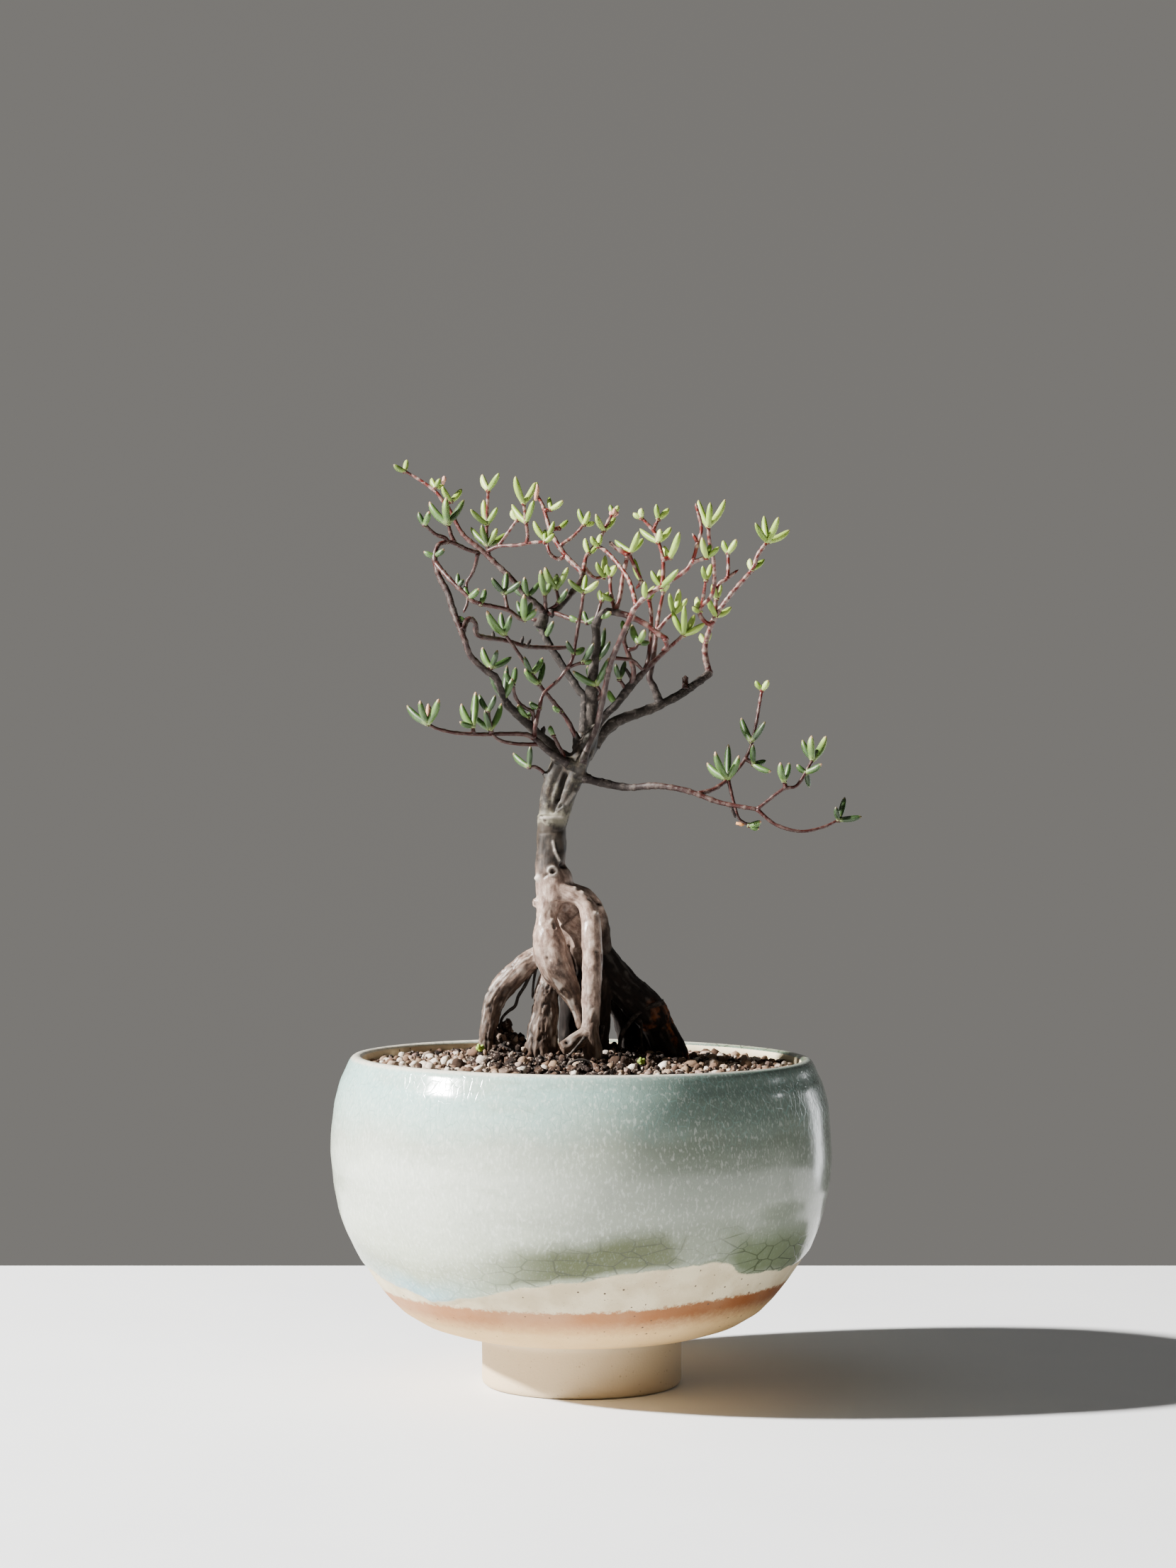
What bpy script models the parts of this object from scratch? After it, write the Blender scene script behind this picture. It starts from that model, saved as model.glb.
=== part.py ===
"""A potted mestoklema: a caudex succulent with bare standing roots, in a glazed stoneware pot.

Metres, +Z up. The origin is at the middle of the underside of the whole plant's box, on the
surface that the pot stands on. The viewer looks along +Y, so a negative depth is nearer.

The plant was laid out from one view. Its tables give each point as (x, z) in millimetres where
it is seen on the upright plane through the pot's axis, and each stretch has a depth behind or in
front of that plane. placed() carries such a point along the line of sight to its real place.
"""

import math
import random

import bmesh
import bpy
import numpy as np
from mathutils import Vector, noise

MM = 0.001

# Driving dimensions, in millimetres
POT_RADIUS = 65.0
RIM_HEIGHT = 85.0
FOOT_RADIUS = 26.0
FOOT_RING_WALL = 6.5
FOOT_RECESS = 10.0
DRAIN_RADIUS = 4.5
GAP = 0.3
SOIL_GAP = 0.35
POT_SHIFT = -3.1
RIM_LEAN = 0.0087
TURN_STEPS = 36

# The line of sight that the plant was laid out on
EYE_X = 1.65
EYE_Z = 155.2
EYE_DISTANCE = 870.0
STEADY_DEPTH = 5.0
SPREAD = 0.8

# Leaves: how deep a root sinks in its stem, and each kind's stations as (share, width, rise)
LEAF_SINK = 0.55
FULL_LEAF = 6.0
SMALLEST_LEAF = 3.1
LEAF_HALF_WIDTH = 0.82
LEAF_TILT = (8.0, 38.0)
SHORT_LEAF = ((0.58, 1.0, -0.02), (1.0, 0.3, 0.03))
LONG_LEAF = ((0.42, 1.0, -0.03), (0.78, 0.86, 0), (1.0, 0.22, 0.05))

# Stems: a slim one has three sides, a little swollen to hold the same wood
SLIM_STEM = 0.62
SLIM_SWELL = 1.15
THINNING = 0.5
LONGEST_STEP = 9.0
SEEN_STEPS = 9
TWIG_FROM = 0.9
TWIG_PAST = 0.4
TWIG_RADII = (0.52, 0.46)

# Radius and height of the pot's outer side from the lip down to the foot
POT_OUTSIDE = (
    (58.3, 85.0), (59.9, 83.7), (62.5, 78.6), (64.2, 72.7), (65.0, 64.0), (64.6, 51.0),
    (62.6, 43.0), (57.0, 31.6), (50.3, 23.2), (44.5, 18.2), (34.2, 14.3), (26.1, 13.2),
    (26.0, 0.8), (25.4, 0.0),
)
# Radius and height of its inner side from the floor up to the lip
POT_INSIDE = (
    (30.0, 18.0), (43.0, 22.0), (52.0, 30.0), (58.2, 44.0), (60.4, 58.0), (59.8, 72.0),
    (56.2, 83.0), (56.8, 84.6),
)

SOIL_RIM_LEVEL = 81.8
SOIL_MOUND = ((1.0, 3.0, 3.6, 17.0), (-21.0, 4.0, 6.6, 3.4))
SOIL_RINGS = 8
SOIL_WALL_START = 35.0
SOIL_FLOOR_RADIUS = 28.0
GRAVEL_RELIEF = 1.2
GRAVEL_CELL = 1.62
GRAVEL_EDGE = 56.0
GRAVEL_FADE = 4.0

# The woody base as swelling tubes: each point is (x, z, depth, radius)
CAUDEX = {
    "trunk": ((-6.6, 125, 0, 4.9), (-7.15, 130, 0, 4.75), (-8.1, 134, 0, 4.1),
              (-7.8, 139, 0, 3.85), (-7.8, 147, 0, 3.6)),
    "left lobe": ((-8.2, 144, 0.5, 2.8), (-8.45, 150, 1, 2.4), (-8.2, 154, 1, 2.1),
                  (-5.7, 160, 1, 2.5), (-3.6, 163.5, 1, 2.4)),
    "right lobe": ((-7.0, 144, -0.5, 2.8), (-3.9, 151.5, -1, 2.3), (-2.1, 156, -1, 2.3),
                   (-0.9, 160, -1, 2.6), (0.6, 164, 0, 2.9)),
    "front root": ((-5, 127.5, -2, 3.0), (-2, 126.3, -3, 2.3), (0.8, 124.2, -4, 2.2),
                   (2.2, 120.5, -5, 2.6), (2.6, 115, -6, 2.7), (2.8, 108, -7, 2.6),
                   (2.6, 100, -7.5, 2.5), (2.4, 94, -8, 2.4), (2.2, 90.5, -8.5, 2.5),
                   (3, 84, -8.5, 2.4), (3, 76, -8.5, 1.8)),
    "front toe": ((2.2, 91, -8.5, 2.3), (0, 89.4, -9, 2.2), (-2.5, 87.9, -10, 2.0),
                  (-5.3, 86.5, -10.5, 1.8)),
    "right strand": ((-3.5, 127, 0, 3.0), (1, 126.3, 1, 2.0), (4, 122.5, 2, 2.0),
                     (5.3, 117, 3, 2.2), (5.6, 110, 3, 2.2), (5.8, 102, 3, 2.1),
                     (5.6, 94, 3, 2.0), (5.2, 86, 3, 2.0), (5.2, 76, 3, 1.5)),
    "middle root": ((-8.2, 125, -1, 3.4), (-9.1, 121, -2, 2.8), (-8.6, 116, -3, 3.9),
                    (-7.9, 112, -3.6, 4.5), (-6.6, 108, -4, 4.4), (-4.7, 104.5, -4.2, 3.6),
                    (-2.7, 101, -4.3, 2.7), (-1.1, 97, -4.5, 1.9), (0.5, 92, -5, 1.6)),
    "wedge": ((-5, 123.5, 2, 3.0), (-3.2, 119.5, 2.5, 2.3), (-1.8, 116.5, 3, 1.9),
              (-0.4, 113, 4, 1.5)),
    "back right root": ((-3, 121, 2, 4.0), (2.4, 115, 4, 3.4), (8, 106, 5, 4.3),
                        (14, 99.4, 6, 4.9), (17.5, 96.1, 7, 4.8), (19.6, 92, 8, 4.5),
                        (23.4, 84, 8, 4.6), (25, 75, 8, 3.2)),
    "back root": ((-1, 118, 6, 3.2), (3, 111, 8, 3.4), (8, 104, 10, 4.0), (12, 96, 12, 4.5),
                  (14, 88, 13, 4.5), (14.5, 76, 13, 3.2)),
    "left root": ((-7.5, 115, -1, 2.8), (-11, 111, -1, 2.6), (-14.5, 108.3, -1, 3.1),
                  (-18, 105.1, -1, 3.3), (-21, 101.8, -1, 3.1), (-22.9, 98.2, -1.5, 2.8),
                  (-23.7, 94.5, -2, 2.4), (-24.2, 91, -2.5, 2.2), (-24.6, 86, -2.5, 2.2),
                  (-24.8, 76, -2.5, 1.5)),
    "stump root": ((-7.6, 107.5, -2.5, 2.0), (-8.9, 103.4, -2, 2.7), (-9.3, 99.7, -2, 3.3),
                   (-9.6, 95, -2, 3.6), (-10.2, 90, -2, 4.1), (-10.5, 84, -2, 4.4), (-10.4, 76, -2, 3.0)),
    "shaded root": ((-3.6, 121, 5, 3.0), (-3.0, 114, 6, 3.7), (-2.2, 106, 6.8, 4.1),
                    (-1.6, 98, 7.2, 4.3), (-1.6, 90, 7.4, 4.5), (-1.6, 83, 7.4, 4.5), (-1.6, 76, 7.4, 3.2)),
    "left limb collar": ((-5.2, 160.5, 0.6, 2.2), (-6.8, 163.2, 0, 1.8), (-8.6, 165.7, 0, 1.5)),
    "centre limb collar": ((0.6, 163, 0, 2.9), (2.3, 167, 0, 2.1), (2.6, 171, -0.3, 1.6)),
    "knot limb collar": ((-0.6, 162, 2.5, 2.2), (0.3, 168.4, 4, 1.3)),
    "right limb collar": ((0.6, 162.5, 1.6, 2.4), (3, 165.6, 2, 1.8), (5.2, 168.0, 2.4, 1.6)),
    "inner limb collar": ((1.0, 165, -1.5, 1.9), (3.5, 169, -2.6, 1.2), (4.7, 170.8, -2.6, 0.9)),
    "front stem collar": ((-0.6, 158.5, -2.0, 1.9), (0.5, 161.8, -4.4, 1.1), (1.2, 163.8, -4.8, 0.8)),
    "low left collar": ((-3.0, 160.4, -2.0, 1.8), (-5.5, 161.8, -4.7, 1.0), (-7.3, 162.9, -5.2, 0.8)),
    "low right collar": ((-1.6, 156.9, -1, 2.2), (0.6, 156.8, -2, 1.4), (2.6, 156.6, -2.4, 1.1)),
    "shoot collar": ((-1.0, 164.6, 0, 1.8), (-1.4, 167.6, 0, 0.9), (-2.0, 168.6, 0, 0.75)),
    "trunk bud collar": ((-8.2, 156.6, 1, 1.6), (-9.9, 158.2, 0.6, 0.6)),
    "ring knot": ((-7.6, 132.7, -3.4, 1.4), (-7.4, 132.6, -4.3, 1.2)),
    "left knob": ((-11.0, 124.2, -1, 1.6), (-12.7, 124.3, -1, 1.0)),
    "right knob": ((3.2, 122.4, 0.5, 1.6), (5.2, 122.9, 0.5, 1.0)),
}
CAUDEX_VOXEL = 0.55
CAUDEX_KEPT = 0.0215

# Each limb's stems: depths and radii spread evenly along the stem, then its points (x, z)
LIMBS = {
    "limb_far_left": (
        ((0, -4, -8, -12, -10, -8, -3), (1.5, 1.15, 0.9, 0.7, 0.85, 0.6, 0.5),
         ((-6, 162), (-8.5, 165.6), (-10.8, 167.6), (-13.5, 170.3), (-17.3, 173.8), (-19.9, 176.8),
          (-22.1, 182.5), (-25.4, 185.1), (-28.9, 188.6), (-30.4, 192.8), (-33.2, 199.9), (-34.6, 204.7),
          (-36.7, 208.5), (-38.1, 213.6), (-37.4, 216.8), (-36, 217.8), (-33.6, 217.9), (-30.1, 216.2),
          (-26.1, 215))),
        ((-4, -5, -6), (0.6, 0.5, 0.4),
         ((-12.2, 169.2), (-12.6, 173.6), (-14.6, 174.9), (-15.8, 175.8), (-17.2, 177.8), (-17.8, 181))),
        ((-8, -9), (0.5, 0.4), ((-34.6, 217.8), (-35.5, 219.1), (-37.9, 220), (-40.7, 222.5))),
        ((-8, -6), (0.5, 0.4), ((-33, 217.9), (-33.9, 220), (-34.6, 222.8))),
        ((-4, -2, -4), (0.45, 0.35),
         ((-26.9, 215.1), (-27.5, 212.2), (-28.5, 209.6), (-29.9, 207.1), (-29.6, 202.5), (-30.7, 199.6))),
        ((-10, -13, -14, -13, -12), (0.6, 0.5),
         ((-37.8, 212.4), (-36.7, 211.1), (-33.9, 208), (-30.4, 204.7), (-28.5, 202.8), (-26.1, 201.9),
          (-19.3, 200.4), (-16.2, 198.2), (-14, 197.8))),
        ((-13, -12), (0.45, 0.4), ((-19.2, 200.3), (-20, 204.7))),
        ((-12, -10, -6, 0, 6, 8), (0.75, 0.6, 0.5),
         ((-31, 195), (-30.1, 197.3), (-28.9, 198), (-27.6, 196.8), (-27.3, 194.2), (-25.6, 193.3),
          (-20.2, 192.5), (-14.4, 190.9), (-10, 190.6), (-5.5, 190.5), (-3.6, 190.7))),
    ),
    "limb_knot": (
        ((4, 6, 8, 9), (1.1, 1.0, 1.0),
         ((0.4, 168), (0.8, 177.1), (-0.8, 179.6), (-4.6, 185.3), (-8.1, 190.9), (-10.7, 195.9),
          (-11.9, 196.8))),
        ((9, 9), (1.3, 1.4, 1.1), ((-10.6, 195.8), (-10, 198), (-9.2, 200.2))),
        ((9, 8, 4), (0.6, 0.45), ((-9.4, 199.3), (-6.7, 199.4), (-2.5, 197.9), (1.5, 197.1))),
        ((9, 9), (0.6, 0.5), ((-10, 197.7), (-13.1, 197.8))),
        ((9, 8, 10, 12, 14), (0.85, 0.7, 0.5, 0.35),
         ((-9.6, 199.6), (-12, 202.1), (-14.8, 204.5), (-18.4, 208.7), (-22.1, 212.2), (-26.1, 216),
          (-30.8, 220), (-34.1, 226.1), (-36, 228.6), (-37.9, 231.1), (-41.9, 234), (-45.9, 236.4))),
        ((8, 9, 8), (0.45, 0.4), ((-24, 214.3), (-24.6, 218.8), (-24.5, 225), (-24.2, 231.5))),
        ((8, 6, 5), (0.45, 0.4),
         ((-24.4, 215.6), (-21.4, 216.9), (-16.7, 217.1), (-13.2, 217.8), (-9.5, 218))),
        ((7.6, 7), (0.45, 0.35), ((-21.6, 216.8), (-16.7, 223.8))),
        ((5.6, 5), (0.45, 0.4), ((-14.2, 217.6), (-14, 220), (-14.4, 223.2), (-15, 228.2))),
        ((9, 8), (0.5, 0.4), ((-9.3, 199.8), (-9.5, 204.5))),
        ((9, 9), (0.45, 0.4), ((-8.5, 200.2), (-6.1, 202.3), (-6.6, 206))),
        ((10, 12, 15, 17, 19, 20), (0.9, 0.75, 0.6, 0.45),
         ((-8.2, 199.4), (-5.8, 201.2), (-2, 205.4), (0.1, 208.2), (0.3, 209.6), (-0.8, 211.1),
          (-4.1, 214.4), (-7.6, 219.8), (-9.3, 224.9), (-10.2, 227.8), (-11.8, 230.4))),
        ((17, 17, 18), (0.5, 0.4), ((-4.2, 214.5), (-6, 213.6), (-8.2, 215), (-9.3, 218.6))),
        ((17.6, 17), (0.45, 0.4), ((-5.6, 216.9), (-2, 219.6), (0.7, 222.6))),
        ((15, 17, 18, 18), (0.55, 0.45),
         ((0.3, 209.4), (0.8, 212.5), (1.5, 214.6), (4.5, 218.5), (7.2, 223.8), (8.4, 225.5))),
        ((15, 15), (0.45, 0.4), ((0.8, 211.2), (3.2, 208.8), (5.8, 208.9))),
    ),
    "limb_low_left": (
        ((-4.5, -5.5, -6), (0.95, 0.8),
         ((-3.5, 160.6), (-7.9, 163.2), (-11.4, 166.2), (-12.6, 167.4))),
        ((-6, -7, -10, -12), (0.6, 0.5, 0.4),
         ((-12.4, 167.2), (-14.9, 168.1), (-20.8, 168.2), (-26.4, 168.1), (-32.9, 168.5), (-37.9, 169.7),
          (-39.9, 170.9))),
        ((-5.8, -7, -8), (0.5, 0.4), ((-10.6, 165.5), (-16.7, 165.6), (-21.1, 166.5), (-23.4, 168.3))),
        ((-4.9, -4.5, -5), (0.5, 0.45), ((-4.4, 161.2), (-4.9, 163.2), (-6.1, 165.3), (-7.3, 167.9))),
        ((-6, -6, -5, -4.5), (0.6, 0.45, 0.4),
         ((-12.4, 166.9), (-12, 170.3), (-10.8, 175.6), (-9.8, 178.7), (-6, 182.2), (-3.4, 185.3),
          (0.4, 186.8))),
        ((-4.8, -4.5, -5), (0.45, 0.4),
         ((-3.6, 185.1), (-2.3, 188), (-1.5, 192.4), (-0.9, 196.1), (-0.1, 200.4), (0.5, 205))),
    ),
    "shoot_left": (
        ((0, -1, -3, -5), (0.65, 0.5, 0.4),
         ((-1.3, 167), (-2.2, 168.9), (-4.6, 173.1), (-10.7, 180.6), (-14.2, 185.8), (-17.3, 190.5),
          (-20, 194.2))),
    ),
    "shoot_trunk": (
        ((1, 0.4), (0.5, 0.4), ((-8.6, 157), (-11.4, 159.4), (-13.6, 159.7))),
    ),
    "limb_centre": (
        ((0, -1, -1, -1.5), (1.6, 1.5, 1.25, 1.05),
         ((2.4, 168), (2.6, 175), (2.7, 180), (3.2, 186), (3.8, 191), (3.7, 196), (3.4, 197.4))),
        ((-1.5, -4, -5, -6), (0.95, 0.8, 0.65),
         ((3.7, 196.6), (5.8, 199.7), (10.9, 199.2), (16.7, 196.6), (19.8, 194.2), (22.6, 192.6))),
        ((-5.8, -5), (0.55, 0.45), ((21.6, 193), (22.1, 190.9), (20.7, 189.8))),
        ((-2, -1), (0.5, 0.4), ((3.6, 197.6), (5.2, 202.8))),
        ((-1, -2), (0.5, 0.45), ((2.7, 175.6), (4.9, 178.4), (3.8, 181))),
        ((-4, -3, -2, -2), (0.6, 0.5),
         ((8.6, 199.6), (10, 204), (10.7, 208.9), (12, 214.5), (12.8, 215.5))),
        ((-2, -1), (0.55, 0.5), ((12.2, 214.5), (8.6, 216.7), (7.2, 218.1))),
        ((-2, -1, 0), (0.45, 0.4), ((12.3, 214.8), (14.2, 210.6), (15.4, 208), (14.1, 205.8))),
        ((-4, -1, 0), (0.5, 0.45), ((8.7, 199.8), (7.6, 204.7), (7.4, 209.2))),
    ),
    "limb_front": (
        ((-4.5, -5, -8, -11, -13, -14, -14), (0.85, 0.75, 0.7, 0.65, 0.5, 0.4),
         ((0.4, 160.5), (1.8, 165.2), (3.9, 169.9), (5.6, 177.6), (7.4, 186), (9.8, 192.1), (12.1, 197.1),
          (13.8, 200.8), (16.9, 204), (21.2, 206.8), (26.8, 210.4), (28.9, 213.4), (30.1, 217.6),
          (31.1, 221.6), (29.6, 228))),
        ((-14, -14), (0.5, 0.45), ((28.6, 212.7), (32.5, 214))),
        ((-14, -14), (0.4, 0.3), ((30, 218.2), (28.7, 220.2))),
        ((-12, -9, -6, -3), (0.55, 0.45),
         ((14.2, 201.4), (12.6, 207.3), (10.2, 211.3), (6.9, 215.1), (4.3, 217))),
        ((-13, -13, -12), (0.55, 0.45, 0.4),
         ((21, 206.8), (21.2, 212.9), (20.2, 217.2), (18.8, 220.7), (15.5, 224.3))),
        ((-12.2, -12), (0.45, 0.4), ((18.6, 221), (19.9, 224))),
        ((-10, -8, -6), (0.5, 0.4), ((7.9, 187.9), (11.4, 187.6), (13.3, 187.2), (15.9, 184.7))),
    ),
    "limb_inner": (
        ((-2.5, -2, -1, 0, 1), (0.8, 1.1, 0.65, 0.45),
         ((3.6, 169.3), (6.5, 173.4), (8.6, 175.5), (12.7, 180.6), (16, 184.1), (19.8, 187.9),
          (23.1, 190.9), (26.6, 194))),
        ((-1, -3, -3), (0.65, 0.55), ((12.9, 180.9), (13.5, 184.8), (11.9, 189.5), (11, 192.5), (11.4, 194.8))),
        ((-3, -3.5), (0.45, 0.4), ((12, 190), (13.9, 190.4), (14.8, 191.9))),
        ((-1.4, -1.5), (0.5, 0.4), ((11.6, 179.6), (9.8, 182.4))),
        ((0, 3, 1), (0.6, 0.5), ((16.4, 184.6), (17.4, 188.1), (18.1, 197.8), (17.5, 203.2))),
    ),
    "limb_right": (
        ((2, 3, 5, 7, 9), (1.6, 1.4, 1.1, 0.95),
         ((3, 165.7), (7.3, 170.2), (10.5, 172.1), (17.1, 174.4), (25.1, 178.1), (31.5, 182.7),
          (33.8, 184.4))),
        ((7.6, 8), (0.75, 0.7), ((27, 179.6), (26.9, 183.3))),
        ((9, 9, 8, 8, 8), (0.8, 0.6, 0.5),
         ((33.2, 183.8), (32.2, 187.9), (32.2, 191.9), (34.4, 198), (38.4, 204), (44.2, 210.8),
          (45.6, 214.4), (48.2, 218.1))),
        ((8, 8, 9), (0.5, 0.45), ((34.6, 198.4), (35.3, 206.4), (37.8, 208.9), (38, 215.2))),
        ((8.6, 9), (0.4, 0.35), ((37.4, 208.3), (40.7, 210.8))),
        ((8, 6, 4, 2, 0), (0.55, 0.5, 0.45),
         ((34.2, 197.4), (32.7, 196.8), (30.6, 199.2), (31.1, 201.2), (34, 204.7), (34.4, 211.8),
          (33.2, 218.1), (32.9, 222.1))),
        ((6, 5), (0.45, 0.4), ((31.2, 201.4), (32.3, 208.2))),
        ((6, 6, 7, 6), (1.0, 0.75, 0.55, 0.4),
         ((20.3, 176.2), (18.6, 180.6), (17.6, 182.9), (18.6, 187.6), (19.8, 197.8), (21.3, 205.3))),
        ((6.6, 6), (0.5, 0.45), ((19.8, 195.2), (22.4, 198.2), (24, 199.5))),
    ),
    "limb_low_right": (
        ((-2, -5, -8, -10, -12), (1.1, 0.85, 0.7, 0.5),
         ((0.6, 156.8), (4.9, 155.6), (11.8, 154.3), (19.8, 154.7), (27.7, 153.3), (36.2, 150.3),
          (45.7, 148.6))),
        ((-10, -8, -6, -5), (0.55, 0.4),
         ((30.2, 152.6), (34.8, 154.1), (39.7, 158.1), (43.2, 163.1), (45, 169.4), (46.8, 179.7))),
        ((-9.6, -9), (0.45, 0.35), ((38, 156.4), (39.5, 150.3), (40.9, 146.1), (43.6, 144.5))),
        ((-12, -12, -11), (0.45, 0.4),
         ((45.5, 148.6), (52.1, 153.7), (55.6, 154.6), (57.9, 157.8), (60, 161.6))),
        ((-12, -13, -12), (0.45, 0.35),
         ((45.5, 148.6), (50.3, 144.7), (56.7, 142.9), (62.7, 144), (66.7, 145.9))),
    ),
}

# Each limb's tufts: where it sits (x, z), then its leaves as (angle from upright, length)
TUFTS = {
    "limb_far_left": (
        (-23.5, 185.5, (-24, 5.6), (22, 4.6), (62, 5.8)), (-20.5, 177.1, (-28, 7.3), (5, 8.5), (24, 5.5)),
        (-14, 172.4, (28, 3.4), (-35, 4.2)), (-30.7, 197.9, (-52, 2.3)),
        (-17.8, 181, (-30, 4), (8, 4.6)),
        (-40.7, 222.5, (-27, 3.6), (22, 3.4)), (-34.6, 222.8, (-41, 7.6), (-4, 6.6), (33, 7.4)),
        (-31.9, 207, (0, 3.5), (40, 2.4)), (-28.8, 203.7, (-22, 3.3), (50, 3.4)), (-26, 202.4, (15, 4)),
        (-20, 204.7, (-40, 5), (5, 5.5), (57, 5)),
        (-14.9, 197.8, (-22, 5.2), (0, 6), (22, 4.8), (52, 4)), (-38, 214.6, (-70, 3.2), (55, 2.8)),
    ),
    "limb_knot": (
        (-9.6, 193, (-30, 4.8), (28, 4.5)), (-1.1, 198, (-60, 2.5)), (1.5, 197.1, (-18, 3.2), (60, 3)),
        (-46, 236.4, (-62, 3.2), (8, 3.2)), (-37.9, 232.2, (-25, 2.8), (30, 2.5), (75, 2.2)),
        (-33.8, 228.6, (-32, 4.4), (38, 4.3)), (-14.3, 203.8, (-58, 4.2), (-8, 5), (40, 5)),
        (-24.2, 231.5, (-22, 4.6), (35, 5)), (-25.2, 216.8, (-42, 6.9), (-16, 5.5), (55, 6), (30, 5)),
        (-24.5, 222.6, (-50, 5.5), (-8, 6.5), (33, 5)), (-9.5, 218, (50, 3.2), (0, 3.4)),
        (-14.4, 223.2, (-38, 6.2), (20, 6)), (-15, 228.2, (-18, 7), (28, 6.2)),
        (-16.7, 223.8, (-30, 3)), (-9.5, 204.4, (-10, 6), (24, 3.6)), (-6.1, 202.3, (36, 4.2)),
        (-6.6, 206, (-28, 6.2), (2, 4), (30, 6.2)), (-8, 226.5, (-8, 3.5), (58, 3.9)),
        (-11.8, 230.2, (2, 3.4)), (-5.8, 221.6, (45, 3.2)), (-9.3, 218.6, (-33, 6), (25, 5.3)),
        (0.7, 222.6, (-20, 4.5), (80, 2.8), (22, 3.6)), (6, 220.8, (-30, 4.5), (38, 4.9)),
        (8.4, 225.2, (-20, 2.6), (30, 2.6)), (1.5, 215.6, (-14, 4.2), (48, 3)),
        (5.8, 208.9, (-28, 4.3), (3, 6), (45, 4.2)),
    ),
    "limb_low_left": (
        (-40, 171.2, (-50, 7.2), (-18, 6), (5, 4.6), (26, 6.8)),
        (-28.2, 170.2, (-28, 6.5), (-72, 3.5), (4, 8.8)),
        (-23.6, 169.4, (-50, 5.2), (-16, 5), (22, 7.2)), (-24.3, 174, (-28, 5), (25, 4.6)),
        (-7.3, 167.9, (-20, 2.6)),
        (0.4, 186.8, (30, 5.5), (80, 2.4)), (-2.2, 189.2, (-30, 3.6), (62, 3.2)),
        (0.5, 205, (-52, 5), (8, 4.5), (55, 4.8)), (-10.9, 175.2, (-60, 3)),
    ),
    "shoot_left": (
        (-12.7, 183.9, (-24, 4.8), (34, 5)), (-11, 181, (-44, 5.2), (14, 5.7)),
        (-20, 194.2, (-38, 7.2), (-10, 5.6), (20, 5)), (-5.2, 174, (-50, 2.6)),
    ),
    "shoot_trunk": ((-13.6, 159.7, (-50, 5.5), (4, 5.3)),),
    "limb_centre": (
        (3.8, 181, (-60, 7), (-25, 5.5), (26, 7.5)), (4.3, 187.6, (12, 8.5), (34, 5.5)),
        (5.1, 198.6, (65, 2.9)), (12.8, 215.5, (-52, 5.2), (22, 5.3), (42, 4.8)),
        (15.6, 208, (-17, 6)), (7.8, 202.5, (-58, 3.2)), (5.2, 202.8, (-12, 2.8), (40, 2.8)),
        (7.4, 209.2, (-18, 3), (30, 3)),
    ),
    "limb_front": (
        (32.5, 214, (-15, 5), (15, 3.5), (50, 4)), (20.5, 206.8, (-32, 4.8), (46, 5.8), (-4, 4.4)),
        (16.2, 203.6, (-3, 3.8), (40, 3.8)), (19.9, 224, (-8, 3.7), (45, 3.8)),
        (20, 218, (-52, 5.8), (10, 3.2), (42, 5)), (23, 214, (-28, 3.4), (20, 6.5)),
        (15.5, 224.3, (-60, 2.4), (0, 2.4)), (4.3, 217, (-40, 3), (10, 3.2)),
    ),
    "limb_inner": (
        (26.6, 194, (-26, 7), (0, 7.4), (28, 6), (62, 6)), (14.8, 191.9, (-20, 5), (26, 3.6), (88, 2.8)),
        (9.8, 182.4, (-14, 4), (18, 5)), (9.1, 176.4, (-32, 4)), (11.4, 194.8, (-16, 3), (24, 3)),
        (17.5, 203.2, (-24, 3), (26, 3.2)),
    ),
    "limb_right": (
        (32.2, 192.1, (-30, 2.8), (20, 3.4)), (34.8, 198.7, (-24, 5.2), (58, 4.8)),
        (35.5, 203, (-14, 4), (16, 4)), (48.2, 218.1, (-36, 5.7), (-6, 7), (24, 6.6), (62, 6.8)),
        (44.6, 210.9, (50, 4.4), (-10, 3)), (38, 215.2, (-22, 3.5), (32, 4)),
        (32.9, 222.1, (-20, 7.4), (4, 6), (32, 8.4)), (32.3, 208.2, (-16, 3.6), (18, 4.4)),
        (30.6, 200, (-60, 2.5), (-12, 4)), (24, 199.5, (-14, 5.2), (12, 6.5), (42, 5)),
        (21.3, 205.3, (-20, 3.8), (24, 3)),
    ),
    "limb_low_right": (
        (46.8, 179.7, (-38, 2.8), (35, 2.8)), (45, 166.2, (-22, 6.6), (34, 6)),
        (37.6, 156.4, (-52, 6.5), (-26, 7.6), (2, 8.8), (26, 6.5)), (44.6, 160.4, (-3, 5), (75, 3.4), (115, 4.8)),
        (52.6, 156, (-14, 4.8), (16, 4.8)), (60, 161.6, (-28, 5.6), (-4, 6), (32, 7)),
        (58.2, 158, (-50, 3), (62, 4.4), (165, 4)), (66.7, 145.9, (-15, 3.4), (18, 6), (82, 5.8)),
        (43.6, 144.5, (70, 3), (110, 2.6)),
    ),
}

COLOURS = {
    "pot": ((0.56, 0.62, 0.56), 0.25),
    "soil": ((0.42, 0.34, 0.26), 0.95),
    "caudex": ((0.40, 0.31, 0.26), 0.85),
    "limb": ((0.34, 0.30, 0.16), 0.6),
    "mesh": ((0.05, 0.05, 0.05), 0.6),
}

MESH_SIDE = 20.0
MESH_BAR = 1.3
MESH_BARS = 5
# The bars one way are this much wider and thinner, so that no two faces lie in one plane
MESH_WIDER = 0.02
MESH_THINNER = 0.04
MESH_ROOM = MESH_SIDE / math.sqrt(2) + 1.2


def clear_scene():
    for obj in list(bpy.data.objects):
        bpy.data.objects.remove(obj, do_unlink=True)


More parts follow.
